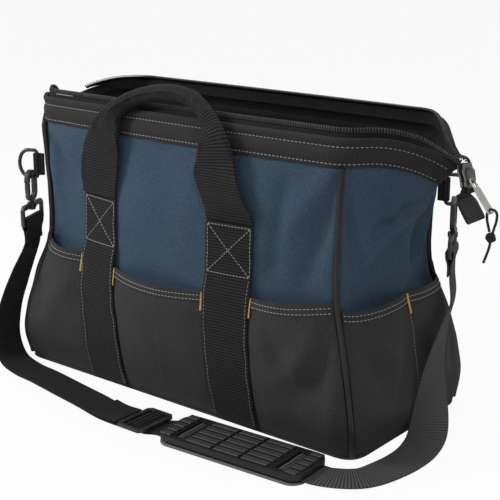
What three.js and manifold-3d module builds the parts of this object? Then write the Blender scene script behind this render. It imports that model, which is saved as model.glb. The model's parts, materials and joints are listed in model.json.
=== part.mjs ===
// Zippered tool bag: a soft open-top bag with outside pockets, two carry handles, a zip round
// the pinched mouth, and a shoulder strap on snap hooks that lies on the floor in front of it.
// Millimetres, +Z up. X runs along the bag, the front faces -Y, and the base rests on z = 0.
import * as THREE from 'three';
import { mergeVertices } from 'three/addons/utils/BufferGeometryUtils.js';
import Module from 'manifold-3d';

const wasm = await Module();
wasm.setup();

// Driving sizes of the body
const baseLength = 446;
const baseDepth = 190;
const baseThick = 4;
const boardThick = 3;
const rimHeight = 298;
const collarDepth = 26;
const hemHeight = 146;
const hemSag = 12;
const wallThick = 3;
const collarProud = 1.2;
const pocketCloth = 1.6;
const pocketStand = 12;
const pipingRadius = 2.9;
const cornerRound = 20;
const gap = 0.3;
const layerGap = 0.9;

// Driving sizes of the handles
const handleWebbing = 53;
const webbingThick = 2;
const legSpacing = 176;
const legLean = 9;
const boxTop = 206;
const gripAboveRim = 22;
const gripWidth = 16;
const gripThick = 14;

// Driving sizes of the zip
const chainPitch = 7;
const beadWidth = 2.2;
const toothReach = 3.2;
const toothLength = 2.6;
const chainThick = 2.4;
const chainRise = 4;
const chainInset = 7;
const tapeWidth = 9;
const tapeThick = 0.8;
const sliderLength = 22;
const sliderWidth = 16;
const plateThick = 1.8;
const pullerLength = 36;
const pullerWidth = 10;
const pullerThick = 1.8;
const cordDiameter = 2.5;
const knotDiameter = 10;
const tabWidth = 30;
const tabLength = 28;
const tabThick = 4;

// Driving sizes of the rings, the hooks and the shoulder strap
const ringHeight = 224;
const ringBar = 4;
const ringInside = 26;
const ringReach = 15;
const ringTabHeight = 24;
const hookWidth = 22;
const hookBar = 5;
const hookOpening = 25;
const gateLength = 14;
const loopBar = 4;
const loopDepth = 14;
const strapWebbing = 38;
const adjusterWidth = 50;
const adjusterLength = 34;
const adjusterThick = 3;
const padLength = 164;
const padWidth = 56;
const padThick = 7;
const backingThick = 2;

const halfLength = baseLength / 2;
const halfDepth = baseDepth / 2;
const legX = legSpacing / 2;
const seamHeight = rimHeight - collarDepth;
const gripTop = rimHeight + gripAboveRim;
const gripRise = gripTop - boxTop;

const colours = {
  blue: 0x4a5f74,
  charcoal: 0x3a3a3a,
  collar: 0x3f3e3b,
  webbing: 0x2c2c2c,
  piping: 0x1c1c1c,
  nickel: 0xd4d2cd,
  blackMetal: 0x1b1b1c,
  rubber: 0x505052,
  greyFoam: 0x78787a,
  board: 0x26262a,
};

const bag = new THREE.Group();

function add(name, geometry, colour, roughness, metalness = 0) {
  const material = new THREE.MeshStandardMaterial({ color: colour, roughness, metalness });
  const mesh = new THREE.Mesh(geometry, material);
  mesh.name = name;
  bag.add(mesh);
  return mesh;
}

function vec(x, y, z) {
  return new THREE.Vector3(x, y, z);
}

// Solids from points, and the joins and cuts between them
function facingOut(points, faces) {
  let volume = 0;
  for (let i = 0; i < faces.length; i += 3) {
    const a = points[faces[i]];
    const b = points[faces[i + 1]];
    const c = points[faces[i + 2]];
    volume += a.dot(vec(0, 0, 0).crossVectors(b, c));
  }
  const order = [];
  for (let i = 0; i < faces.length; i += 3) {
    order.push(faces[i]);
    order.push(volume > 0 ? faces[i + 1] : faces[i + 2]);
    order.push(volume > 0 ? faces[i + 2] : faces[i + 1]);
  }
  const geometry = new THREE.BufferGeometry().setFromPoints(points);
  geometry.setIndex(order);
  return geometry;
}

function sheet(columns, rows, outside, inside) {
  const points = [];
  for (const face of [outside, inside]) {
    for (let j = 0; j <= rows; j += 1) {
      for (let i = 0; i <= columns; i += 1) points.push(face(i, j));
    }
  }
  const wide = columns + 1;
  const back = wide * (rows + 1);
  const faces = [];
  const quad = (a, b, c, d) => faces.push(a, b, c, a, c, d);
  for (let j = 0; j < rows; j += 1) {
    for (let i = 0; i < columns; i += 1) {
      const a = j * wide + i;
      quad(a, a + 1, a + wide + 1, a + wide);
      quad(back + a, back + a + wide, back + a + wide + 1, back + a + 1);
    }
  }
  for (let i = 0; i < columns; i += 1) {
    const top = rows * wide + i;
    quad(i, back + i, back + i + 1, i + 1);
    quad(top, top + 1, back + top + 1, back + top);
  }
  for (let j = 0; j < rows; j += 1) {
    const left = j * wide;
    const right = left + columns;
    quad(left, left + wide, back + left + wide, back + left);
    quad(right, back + right, back + right + wide, right + wide);
  }
  return facingOut(points, faces);
}

function sweep(rings, closed = false) {
  const sides = rings[0].length;
  const points = rings.flat();
  const faces = [];
  const last = closed ? rings.length : rings.length - 1;
  for (let j = 0; j < last; j += 1) {
    const next = (j + 1) % rings.length;
    for (let i = 0; i < sides; i += 1) {
      const a = j * sides + i;
      const b = j * sides + ((i + 1) % sides);
      const c = next * sides + ((i + 1) % sides);
      const d = next * sides + i;
      faces.push(a, b, c, a, c, d);
    }
  }
  if (!closed) {
    const end = (rings.length - 1) * sides;
    for (let i = 1; i < sides - 1; i += 1) {
      faces.push(0, i + 1, i);
      faces.push(end, end + i, end + i + 1);
    }
  }
  return facingOut(points, faces);
}

function solid(geometry) {
  const bare = geometry.index ? geometry.toNonIndexed() : geometry.clone();
  bare.deleteAttribute('normal');
  bare.deleteAttribute('uv');
  const merged = mergeVertices(bare, 1e-4);
  const vertProperties = new Float32Array(merged.attributes.position.array);
  const triVerts = new Uint32Array(merged.index.array);
  return new wasm.Manifold(new wasm.Mesh({ numProp: 3, vertProperties, triVerts }));
}

function geometryOf(body) {
  const mesh = body.getMesh();
  const geometry = new THREE.BufferGeometry();
  geometry.setAttribute('position', new THREE.BufferAttribute(mesh.vertProperties, 3));
  geometry.setIndex(new THREE.BufferAttribute(mesh.triVerts, 1));
  return geometry;
}

function joined(...geometries) {
  return geometryOf(geometries.map(solid).reduce((whole, next) => whole.add(next)));
}

function cut(geometry, ...tools) {
  return geometryOf(tools.map(solid).reduce((whole, next) => whole.subtract(next), solid(geometry)));
}

function block(sizeX, sizeY, sizeZ, x, y, z) {
  return new THREE.BoxGeometry(sizeX, sizeY, sizeZ).translate(x, y, z);
}

// A bar along an open path
function bar(points, radius, sides, steps) {
  const section = new THREE.Shape();
  for (let i = 0; i < sides; i += 1) {
    const turn = (i / sides) * 2 * Math.PI;
    const x = radius * Math.cos(turn);
    const y = radius * Math.sin(turn);
    if (i === 0) section.moveTo(x, y);
    else section.lineTo(x, y);
  }
  const path = new THREE.CatmullRomCurve3(points, false, 'centripetal');
  return new THREE.ExtrudeGeometry(section, { steps, bevelEnabled: false, extrudePath: path });
}

// A flat band between two edges, given as pairs of points
function band(pairs, thick) {
  const middles = pairs.map(([a, b]) => a.clone().add(b).multiplyScalar(0.5));
  const rings = pairs.map(([a, b], i) => {
    const before = middles[Math.max(i - 1, 0)];
    const after = middles[Math.min(i + 1, middles.length - 1)];
    const along = after.clone().sub(before);
    const face = along.cross(b.clone().sub(a)).setLength(thick / 2);
    return [a.clone().add(face), b.clone().add(face), b.clone().sub(face), a.clone().sub(face)];
  });
  return sweep(rings);
}

// The body's outline. Each row gives a height and what is added there to half the base's length
// and depth, how far the middle of each end reaches, how far the long sides bow, and the droop.
const frontShare = 0.6;
const cornerShare = 0.74;
const cornerAt = (frontShare + cornerShare) / 2;
const levels = [
  { z: 0, a: 0, b: 0, m: 0, bow: 0, drop: 0 },
  { z: 0.13 * rimHeight, a: 1, b: 5, m: 6, bow: 5, drop: 0 },
  { z: 0.34 * rimHeight, a: -13, b: -1, m: -1, bow: 15, drop: 0 },
  { z: hemHeight, a: -28, b: -10, m: -11, bow: 20, drop: 0 },
  { z: 0.67 * rimHeight, a: -29, b: -11, m: -5, bow: 18, drop: 0 },
  { z: seamHeight, a: -27, b: -11, m: 23, bow: 6, drop: 22 },
  { z: rimHeight, a: -26, b: -15, m: 43, bow: 2, drop: 28 },
];

function smoothRow(height, key) {
  let i = 0;
  while (i < levels.length - 2 && height > levels[i + 1].z) i += 1;
  const p = levels[i];
  const q = levels[i + 1];
  const slopeAt = (k) => {
    const low = levels[Math.max(k - 1, 0)];
    const high = levels[Math.min(k + 1, levels.length - 1)];
    return (high[key] - low[key]) / (high.z - low.z);
  };
  const span = q.z - p.z;
  const t = (height - p.z) / span;
  const t2 = t * t;
  const t3 = t2 * t;
  const start = (2 * t3 - 3 * t2 + 1) * p[key] + (t3 - 2 * t2 + t) * span * slopeAt(i);
  return start + (3 * t2 - 2 * t3) * q[key] + (t3 - t2) * span * slopeAt(i + 1);
}

function quadrant(s, height) {
  const corner = new THREE.Vector2(halfLength + smoothRow(height, 'a'), halfDepth + smoothRow(height, 'b'));
  const middle = new THREE.Vector2(halfLength + smoothRow(height, 'm'), 0);
  const toEnd = middle.clone().sub(corner).normalize();
  const start = corner.clone().add(new THREE.Vector2(-cornerRound, 0));
  const stop = corner.clone().addScaledVector(toEnd, cornerRound);
  const bow = smoothRow(height, 'bow');
  if (s <= frontShare) {
    const swell = Math.cos((0.5 * Math.PI * s) / frontShare);
    return new THREE.Vector2((start.x * s) / frontShare, corner.y + bow * swell);
  }
  if (s <= cornerShare) {
    const t = (s - frontShare) / (cornerShare - frontShare);
    return new THREE.QuadraticBezierCurve(start, corner, stop).getPoint(t);
  }
  return stop.lerp(middle, (s - cornerShare) / (1 - cornerShare));
}

function outline(u, height) {
  const turn = ((u % 4) + 4) % 4;
  const s = turn <= 1 ? turn : turn <= 2 ? 2 - turn : turn <= 3 ? turn - 2 : 4 - turn;
  const p = quadrant(s, height);
  const share = Math.max(0, (s - cornerShare) / (1 - cornerShare));
  return {
    x: turn <= 2 ? p.x : -p.x,
    y: turn <= 1 || turn > 3 ? -p.y : p.y,
    drop: smoothRow(height, 'drop') * share * share,
  };
}

// A point of the wall: u goes once round in 4, from the middle of the front by the right end
function wall(u, height, offset = 0) {
  const step = 0.004;
  const here = outline(u, height);
  const before = outline(u - step, height);
  const after = outline(u + step, height);
  const face = new THREE.Vector2(after.y - before.y, before.x - after.x).normalize();
  return vec(here.x + face.x * offset, here.y + face.y * offset, height - here.drop);
}

function mirrored(stops) {
  return [...stops.slice(1).reverse().map((s) => -s), ...stops];
}

// The long sides are centred on u = 0 and 2, the ends on u = 1 and 3
const sideHalf = [0, 0.2, 0.4, frontShare, 0.62, 0.637, cornerAt - 0.016, cornerAt - 0.001];
const endEdge = 1 - cornerAt - 0.001;
const endHalf = [0, 0.1, 0.2, 1 - cornerShare, 0.28, 0.297, endEdge - 0.015, endEdge];
const sideStops = mirrored(sideHalf);
const endStops = mirrored(endHalf);

function heightsBetween(low, high, rows) {
  return (j) => low + ((high - low) * j) / rows;
}

const wallRows = 8;

function wallPanel(centre, stops, rows) {
  const height = heightsBetween(baseThick + gap, seamHeight, rows);
  const outside = (i, j) => wall(centre + stops[i], height(j), 0);
  const inside = (i, j) => wall(centre + stops[i], height(j), -wallThick);
  return sheet(stops.length - 1, rows, outside, inside);
}

add('front_wall', wallPanel(0, sideStops, wallRows), colours.blue, 0.9);
add('back_wall', wallPanel(2, sideStops, wallRows), colours.blue, 0.9);
add('right_end_wall', wallPanel(1, endStops, wallRows), colours.blue, 0.9);
add('left_end_wall', wallPanel(3, endStops, wallRows), colours.blue, 0.9);

function loopPlate(height, offset, low, thick, count) {
  const shape = new THREE.Shape();
  for (let i = 0; i < count; i += 1) {
    const p = wall((4 * i) / count, height, offset);
    if (i === 0) shape.moveTo(p.x, p.y);
    else shape.lineTo(p.x, p.y);
  }
  const plate = new THREE.ExtrudeGeometry(shape, { depth: thick, bevelEnabled: false });
  return plate.translate(0, 0, low);
}

const baseProud = 2 * layerGap + pocketCloth + webbingThick + gap;
add('base_panel', loopPlate(0, baseProud, 0, baseThick, 64), colours.charcoal, 0.9);
const boardLow = baseThick + gap;
add('base_board', loopPlate(0, -wallThick - 2 * gap, boardLow, boardThick, 64), colours.board, 0.7);

// The collar's two halves meet at the pinched ends of the mouth
const collarStops = mirrored([...sideHalf, ...endHalf.slice(1).reverse().map((e) => 1 - e), 0.999]);

function collarHalf(centre) {
  const rows = 2;
  const height = heightsBetween(seamHeight + gap, rimHeight, rows);
  const outside = (i, j) => wall(centre + collarStops[i], height(j), collarProud);
  const inside = (i, j) => wall(centre + collarStops[i], height(j), -wallThick);
  const half = sheet(collarStops.length - 1, rows, outside, inside);
  const side = centre === 0 ? 1 : -1;
  const beyond = block(3 * baseLength, baseDepth, rimHeight, 0, side * (baseDepth / 2 - gap / 2), seamHeight);
  return cut(half, beyond);
}

add('front_collar', collarHalf(0), colours.collar, 0.9);
add('back_collar', collarHalf(2), colours.collar, 0.9);

// Pockets: a second layer that stands off the wall between its seams
function hemAt(x, halfSpan) {
  const share = Math.min(1, Math.abs(x) / halfSpan);
  return hemHeight - hemSag * Math.cos(0.5 * Math.PI * share);
}

// The front legs of the webbing lean towards the left end as they rise
function leanAt(height, centre) {
  return centre === 0 ? -legLean * THREE.MathUtils.smoothstep(height, 0, hemHeight) : 0;
}

// How far a pocket stands off the wall: not under the strips, most in the middle between them
function sideStand(x, halfSpan, lean, lift) {
  const far = Math.abs(x - lean);
  const beyond = halfSpan - stripOuter - Math.sign(x) * lean;
  let swell = 0;
  if (far < stripInner) swell = Math.cos((0.5 * Math.PI * far) / stripInner);
  if (far > stripOuter) swell = Math.sin((Math.PI * (far - stripOuter)) / beyond);
  return pocketStand * Math.max(0, swell) * lift;
}

const pocketEdge = cornerAt - 0.016;
const pocketEndEdge = 1 - cornerAt - 0.016;
const pocketEndStops = mirrored([0, 0.05, 0.13, 0.21, 0.26, 0.28, 0.297, pocketEndEdge]);
const pocketRows = 7;
const stripInner = legX - handleWebbing / 2 - 1;
const stripOuter = legX + handleWebbing / 2 + 1;

// The place along a long side of a distance x from its middle
function shareAt(x, height) {
  return (frontShare * x) / (halfLength + smoothRow(height, 'a') - cornerRound);
}

// The columns of one half of a side pocket: evenly to the strip, across it, on to the corner
function pocketColumns(height, side, lean) {
  const beside = [0.5, 0.8, 1].map((f) => shareAt(side * f * stripInner + lean, height));
  const outer = shareAt(side * stripOuter + lean, height);
  const beyond = [0, 0.25, 0.6, 1].map((f) => outer + (side * frontShare - outer) * f);
  const corner = [0.62, 0.637, pocketEdge].map((f) => side * f);
  return [...beside, shareAt(side * legX + lean, height), ...beyond, ...corner];
}

function pocketRow(height, centre) {
  const lean = leanAt(height, centre);
  const middle = shareAt(lean, height);
  return [...pocketColumns(height, -1, lean).reverse(), middle, ...pocketColumns(height, 1, lean)];
}

function sidePocket(centre) {
  const halfSpan = wall(pocketEdge, hemHeight).x;
  const low = baseThick + gap;
  const lean = leanAt(hemHeight, centre);
  const columns = pocketRow(hemHeight, centre);
  const face = (extra) => (i, j) => {
    const x = wall(columns[i], hemHeight).x;
    const height = low + ((hemAt(x, halfSpan) - low) * j) / pocketRows;
    const stand = layerGap + sideStand(x, halfSpan, lean, (j / pocketRows) ** 1.3);
    return wall(centre + pocketRow(height, centre)[i], height, stand + extra);
  };
  return sheet(columns.length - 1, pocketRows, face(pocketCloth), face(0));
}

function endPocket(centre) {
  const face = (extra) => (i, j) => {
    const share = Math.abs(pocketEndStops[i]) / pocketEndEdge;
    const low = baseThick + gap;
    const high = hemHeight - 0.5 * hemSag * Math.cos(0.5 * Math.PI * share);
    const height = low + ((high - low) * j) / pocketRows;
    const swell = Math.sin(Math.PI * share) * (j / pocketRows) ** 1.3;
    return wall(centre + pocketEndStops[i], height, layerGap + gap + extra + pocketStand * swell);
  };
  return sheet(pocketEndStops.length - 1, pocketRows, face(pocketCloth), face(0));
}

add('front_pockets', sidePocket(0), colours.charcoal, 0.95);
add('back_pockets', sidePocket(2), colours.charcoal, 0.95);
add('right_end_pockets', endPocket(1), colours.charcoal, 0.95);
add('left_end_pockets', endPocket(3), colours.charcoal, 0.95);

function cornerPiping(u) {
  const points = [];
  const count = 8;
  const low = baseThick + gap;
  for (let i = 0; i <= count; i += 1) {
    const height = low + ((seamHeight - gap - low) * i) / count;
    points.push(wall(u, height, pipingRadius + layerGap + 2 * gap));
  }
  return bar(points, pipingRadius, 6, 10);
}

add('piping_front_right', cornerPiping(cornerAt), colours.piping, 0.6);
add('piping_back_right', cornerPiping(2 - cornerAt), colours.piping, 0.6);
add('piping_back_left', cornerPiping(2 + cornerAt), colours.piping, 0.6);
add('piping_front_left', cornerPiping(4 - cornerAt), colours.piping, 0.6);

// Webbing sewn to the bag: a lower strip over the pockets, and an upper one that comes down on to
// the wall above their hem and runs up to the sewn box that the handle's leg starts from
const overPocket = 2 * layerGap + pocketCloth;
const stripStep = 14;

function hemAtLeg(centre, facing) {
  const leg = facing * legX + leanAt(hemHeight, centre);
  return hemAt(leg, wall(pocketEdge, hemHeight).x) + 0.5 * hemSag;
}

function sewnStrip(centre, facing, heights) {
  const columns = 3;
  const hem = hemAtLeg(centre, facing);
  const face = (offset) => (i, j) => {
    const height = heights[j];
    const onWall = THREE.MathUtils.clamp((height - hem) / stripStep, 0, 1);
    const lift = THREE.MathUtils.lerp(overPocket, layerGap, onWall);
    const x = facing * legX + leanAt(height, centre) + handleWebbing * (i / columns - 0.5);
    return wall(centre + shareAt(x, height), height, lift + offset);
  };
  return sheet(columns, heights.length - 1, face(webbingThick), face(0));
}

for (const [face, centre] of [['front', 0], ['back', 2]]) {
  for (const [hand, side] of [['left', -1], ['right', 1]]) {
    const facing = centre === 0 ? side : -side;
    const low = baseThick + gap;
    const hem = hemAtLeg(centre, facing);
    const sewn = hem + stripStep;
    const lower = [0, 0.2, 0.4, 0.6, 0.8, 1].map((f) => low + f * (hem - gap - low));
    const upper = [hem, hem + 0.5 * stripStep, sewn, 0.5 * (sewn + boxTop), boxTop];
    add(`${face}_lower_strip_${hand}`, sewnStrip(centre, facing, lower), colours.webbing, 0.85);
    add(`${face}_upper_strip_${hand}`, sewnStrip(centre, facing, upper), colours.webbing, 0.85);
  }
}

// Carry handles: a webbing loop with flat legs, rolled into a round grip between them.
// Each stop has its place, which way its width points, half its width and thickness, and how
// square its section is, from 1 for flat webbing to 0.7 for the rolled grip.
const square = 1;
const round = 0.7;
const handleSides = [[1, 0], [1, 1], [0, 1], [-1, 1], [-1, 0], [-1, -1], [0, -1], [1, -1]];

function handleSection(stop, along) {
  const thin = along.clone().cross(stop.wide).normalize();
  const wide = thin.clone().cross(along).normalize();
  return handleSides.map(([a, b]) => {
    const share = a !== 0 && b !== 0 ? stop.corner : 1;
    const point = stop.at.clone();
    point.addScaledVector(wide, a * share * stop.halfWide);
    return point.addScaledVector(thin, b * share * stop.halfThick);
  });
}

function bothLegs(half) {
  const left = half.slice(0, -1).reverse().map((stop) => ({
    ...stop,
    at: stop.at.clone().setX(-stop.at.x),
    wide: stop.wide.clone().setX(-stop.wide.x),
  }));
  return [...half, ...left];
}

function handle(stops, between) {
  const path = new THREE.CatmullRomCurve3(stops.map((stop) => stop.at), false, 'centripetal');
  const rings = [];
  const count = (stops.length - 1) * between;
  for (let i = 0; i <= count; i += 1) {
    const place = i / between;
    const k = Math.min(Math.floor(place), stops.length - 2);
    const f = place - k;
    const mixed = {
      at: path.getPoint(i / count),
      wide: stops[k].wide.clone().lerp(stops[k + 1].wide, f),
      halfWide: THREE.MathUtils.lerp(stops[k].halfWide, stops[k + 1].halfWide, f),
      halfThick: THREE.MathUtils.lerp(stops[k].halfThick, stops[k + 1].halfThick, f),
      corner: THREE.MathUtils.lerp(stops[k].corner, stops[k + 1].corner, f),
    };
    rings.push(handleSection(mixed, path.getTangent(i / count)));
  }
  return sweep(rings);
}

const flatWide = handleWebbing / 2;
const flatThick = webbingThick / 2;
const gripHalfWide = gripWidth / 2;
const gripHalfThick = gripThick / 2;
const legStart = boxTop + flatThick + 0.5 * gap;
const across = vec(1, 0, 0);
const upwards = vec(0, 0, 1);
const downwards = vec(0, 0, -1);

function frontOf(x, height, offset) {
  const high = Math.min(height, rimHeight);
  return wall(shareAt(x, high), high, offset).y;
}

function clearOf(x, height, halfWide, offset) {
  return Math.min(...[-halfWide, 0, halfWide].map((side) => frontOf(x + side, height, offset)));
}

// Stops of the handle: as flat webbing, where it is being rolled, and as the rolled grip
function flatStop(x, y, z, side) {
  const wide = across.clone().multiplyScalar(side);
  return { at: vec(x, y, z), wide, halfWide: flatWide, halfThick: flatThick, corner: square };
}

function rollStop(x, y, z, wide, rolled) {
  const halfWide = THREE.MathUtils.lerp(flatWide, gripHalfWide, rolled);
  const halfThick = THREE.MathUtils.lerp(flatThick, gripHalfThick, rolled);
  const corner = THREE.MathUtils.lerp(square, round, rolled);
  return { at: vec(x, y, z), wide, halfWide, halfThick, corner };
}

function gripStop(x, y, z, wide) {
  return { at: vec(x, y, z), wide, halfWide: gripHalfWide, halfThick: gripHalfThick, corner: round };
}

const legLift = layerGap + flatThick;
const overCollar = collarProud + layerGap;

// The front handle stands up, pushed over to the left. Heights are shares of the grip's rise.
function frontLeg(x, share, rolled, side, offset) {
  const z = boxTop + share * gripRise;
  const halfWide = THREE.MathUtils.lerp(flatWide, gripHalfWide, rolled);
  const y = clearOf(x, z, halfWide, offset);
  const wide = vec(side, 0, rolled).normalize();
  return rolled === 0 ? flatStop(x, y, z, side) : rollStop(x, y, z, wide, rolled);
}

function frontGrip(x, share, offset) {
  return gripStop(x, frontOf(x, rimHeight, offset), boxTop + share * gripRise, upwards);
}

const legFoot = clearOf(legX - legLean, boxTop, flatWide, legLift);
const standing = [
  flatStop(legX - legLean, legFoot, legStart, 1),
  frontLeg(legX - legLean, 0.05, 0, 1, legLift + 2),
  frontLeg(legX - 10, 0.11, 0, 1, legLift + 3),
  frontLeg(legX - 14, 0.18, 0, 1, legLift + 3.5),
  frontLeg(legX - 20, 0.27, 0, 1, legLift + 4),
  frontLeg(legX - 25, 0.38, 0, 1, legLift + 5),
  frontLeg(legX - 26, 0.49, 0.12, 1, overCollar + 6),
  frontLeg(legX - 29, 0.67, 0.5, 1, overCollar + 9),
  frontLeg(legX - 36, 0.79, 0.85, 1, overCollar + 9),
  frontGrip(legX - 48, 0.89, overCollar + 5),
  frontGrip(legX - 68, 0.975, overCollar),
  frontGrip(legX - 100, 1, 0),
  frontGrip(40 - legX, 0.94, overCollar),
  frontGrip(22 - legX, 0.87, overCollar + 5),
  frontLeg(11 - legX, 0.78, 0.85, -1, overCollar + 9),
  frontLeg(5 - legX, 0.66, 0.5, -1, overCollar + 9),
  frontLeg(-legX - 2, 0.47, 0.12, -1, overCollar + 6),
  frontLeg(-legX - 6, 0.28, 0, -1, legLift + 4),
  frontLeg(-legX - 8, 0.14, 0, -1, legLift + 3),
  frontLeg(-legX - legLean, 0.05, 0, -1, legLift + 2),
  flatStop(-legX - legLean, legFoot, legStart, -1),
];
add('front_handle', handle(standing, 2), colours.webbing, 0.85);

// The back handle hangs down outside the back pockets
const backFoot = -clearOf(legX, boxTop, flatWide, legLift);
const hangOut = 2 * pocketStand + gripHalfThick + 4;
const sinking = vec(0.8, 0, -0.6);
const hanging = bothLegs([
  flatStop(legX, backFoot, legStart, 1),
  flatStop(legX, backFoot + 2.6, legStart + 2, 1),
  flatStop(legX, backFoot + 6.4, legStart + 1.2, 1),
  flatStop(legX, backFoot + 14, boxTop - 0.14 * gripRise, 1),
  rollStop(legX - 2, backFoot + 24, boxTop - 0.37 * gripRise, across, 0.2),
  rollStop(legX - 14, backFoot + hangOut - 2, boxTop - 0.67 * gripRise, sinking, 0.7),
  gripStop(legX - 34, backFoot + hangOut, boxTop - 0.86 * gripRise, sinking),
  gripStop(legX - 60, backFoot + hangOut + 2, boxTop - 0.98 * gripRise, downwards),
  gripStop(0, backFoot + hangOut + 3, boxTop - gripRise, downwards),
]);
add('back_handle', handle(hanging, 2), colours.webbing, 0.85);

// The zip: a toothed chain and its tape along each half of the mouth. Past the right end of the
// mouth both chains pass over the collar's tip, run down into the slider and mesh below it.
const tipX = halfLength + levels[levels.length - 1].m;
const tipZ = rimHeight - levels[levels.length - 1].drop;
const hangTilt = 0.185;
const chainDown = vec(Math.sin(hangTilt), 0, -Math.cos(hangTilt));
const sliderAt = vec(tipX + 7.4, 0, tipZ - 8);
const meshedY = beadWidth / 2 + 0.5 * toothReach + 0.2;
const spreadY = 7;
const chainStart = 0.9;
const tapeGap = 0.8;
const tapeTucked = 2;
const teethLean = THREE.MathUtils.degToRad(40);

function alongSlider(distance) {
  return sliderAt.clone().addScaledVector(chainDown, distance);
}

function besideBead(at, teeth, distance) {
  return at.clone().addScaledVector(teeth, -beadWidth / 2 - tapeGap - distance);
}

function sewnEdge(u, centre) {
  return wall(centre + u, rimHeight - tapeWidth, -wallThick - gap - tapeThick);
}

// One stop of a chain: the middle of its bead, the way its teeth point, and the tape's far edge
function rimStop(u, centre) {
  const facing = centre === 0 ? 1 : -1;
  const place = wall(centre + u, rimHeight, -chainInset);
  const share = Math.max(0, (Math.abs(u) - cornerShare) / (1 - cornerShare));
  const edge = wall(centre + u, rimHeight, 0);
  const inward = wall(centre + u, rimHeight, -1).sub(edge).setZ(0).normalize();
  const lean = inward.multiplyScalar(Math.cos(teethLean)).setZ(Math.sin(teethLean));
  const level = THREE.MathUtils.smoothstep(share, 0.55, 0.8);
  const y = -facing * Math.max(spreadY, Math.abs(place.y));
  const teeth = lean.lerp(vec(0, facing, 0), level).normalize();
  const at = vec(place.x, y, place.z + chainRise);
  const loose = THREE.MathUtils.smoothstep(share, 0.1, 0.5);
  const far = sewnEdge(u, centre).lerp(besideBead(at, teeth, tapeTucked), loose);
  return { at, teeth, far };
}

function chainStops(centre) {
  const facing = centre === 0 ? 1 : -1;
  const teeth = vec(0, facing, 0);
  const stops = [];
  const count = 40;
  const turn = centre === 0 ? 1 : -1;
  for (let i = 0; i <= count; i += 1) {
    const u = turn * chainStart * ((2 * i) / count - 1);
    stops.push(rimStop(u, centre));
  }
  const spread = -facing * spreadY;
  const meshed = -facing * meshedY;
  const overTip = [vec(tipX - 5, spread, tipZ + 8), vec(tipX + 1, spread, tipZ + 7.2)];
  const toSlider = [-13, -8].map((distance) => alongSlider(distance).setY(spread));
  const inSlider = [3, 10].map((distance) => alongSlider(distance).setY(meshed));
  const belowSlider = [13, 17].map((distance) => alongSlider(distance).setY(meshed));
  for (const at of [...overTip, ...toSlider, ...inSlider]) {
    stops.push({ at, teeth, far: besideBead(at, teeth, tapeTucked) });
  }
  for (const at of belowSlider) stops.push({ at, teeth, far: besideBead(at, teeth, tapeWidth) });
  return stops;
}

function chainPath(stops) {
  const curve = new THREE.CatmullRomCurve3(stops.map((stop) => stop.at), false, 'centripetal');
  curve.arcLengthDivisions = 1200;
  const lengths = curve.getLengths();
  return {
    length: curve.getLength(),
    at: (distance) => {
      const t = curve.getUtoTmapping(0, Math.min(Math.max(distance, 0), lengths[lengths.length - 1]));
      const place = t * (stops.length - 1);
      const k = Math.min(Math.floor(place), stops.length - 2);
      const teeth = stops[k].teeth.clone().lerp(stops[k + 1].teeth, place - k).normalize();
      const along = curve.getTangent(t);
      const up = along.clone().cross(teeth).normalize();
      const far = stops[k].far.clone().lerp(stops[k + 1].far, place - k);
      return { middle: curve.getPoint(t), teeth: up.clone().cross(along), up, far };
    },
  };
}

// A comb: a bead with a tooth at every pitch. The phase makes the two chains' teeth alternate.
function toothedChain(path, phase) {
  const points = [];
  const faces = [];
  const spot = (distance, reach) => {
    const frame = path.at(distance);
    const edge = frame.middle.clone().addScaledVector(frame.teeth, reach);
    points.push(edge.clone().addScaledVector(frame.up, chainThick / 2));
    points.push(edge.clone().addScaledVector(frame.up, -chainThick / 2));
    return points.length - 2;
  };
  const low = beadWidth / 2;
  const high = low + toothReach;
  const count = Math.floor((path.length - chainPitch) / chainPitch);
  let back = spot(0, -low);
  let front = spot(0, low);
  faces.push(back, back + 1, front + 1, back, front + 1, front);
  const wallBetween = (a, b) => faces.push(a, a + 1, b + 1, a, b + 1, b);
  const flat = (a, b, c) => faces.push(a, b, c, a + 1, c + 1, b + 1);
  for (let k = 0; k <= count; k += 1) {
    const end = k === count;
    const middle = path.length - (count - k + phase) * chainPitch - toothLength;
    const a = spot(middle - 0.7 * toothLength, low);
    const b = spot(middle - 0.5 * toothLength, high);
    const c = spot(middle + 0.5 * toothLength, high);
    const d = spot(middle + 0.7 * toothLength, low);
    const nextBack = spot(end ? path.length : middle + 0.7 * toothLength, -low);
    const nextFront = end ? spot(path.length, low) : d;
    wallBetween(front, a);
    wallBetween(a, b);
    wallBetween(b, c);
    wallBetween(c, d);
    if (end) wallBetween(d, nextFront);
    wallBetween(nextBack, back);
    flat(back, front, a);
    flat(a, b, c);
    flat(a, c, d);
    flat(back, a, d);
    flat(back, d, nextBack);
    if (end) flat(nextBack, d, nextFront);
    back = nextBack;
    front = nextFront;
  }
  faces.push(back, front, front + 1, back, front + 1, back + 1);
  return facingOut(points, faces);
}

function tapeBeside(path) {
  const pairs = [];
  const count = 44;
  for (let i = 0; i <= count; i += 1) {
    const frame = path.at((path.length * i) / count);
    pairs.push([besideBead(frame.middle, frame.teeth, 0), frame.far]);
  }
  return band(pairs, tapeThick);
}

const frontChain = chainPath(chainStops(0));
const backChain = chainPath(chainStops(2));
add('front_zip_teeth', toothedChain(frontChain, 0), colours.blackMetal, 0.35, 0.4);
add('back_zip_teeth', toothedChain(backChain, 0.5), colours.blackMetal, 0.35, 0.4);
add('front_zip_tape', tapeBeside(frontChain), colours.webbing, 0.9);
add('back_zip_tape', tapeBeside(backChain), colours.webbing, 0.9);

// The slider, in its own frame: x out from the chain, y across it, z up along it
const channel = chainThick / 2 + gap;
const plateOut = channel + plateThick;
const toSide = new THREE.Matrix4().makeBasis(vec(0, 1, 0), vec(0, 0, 1), vec(1, 0, 0));

function shapeOf(points) {
  return new THREE.Shape(points.map(([x, y]) => new THREE.Vector2(x, y)));
}

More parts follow.
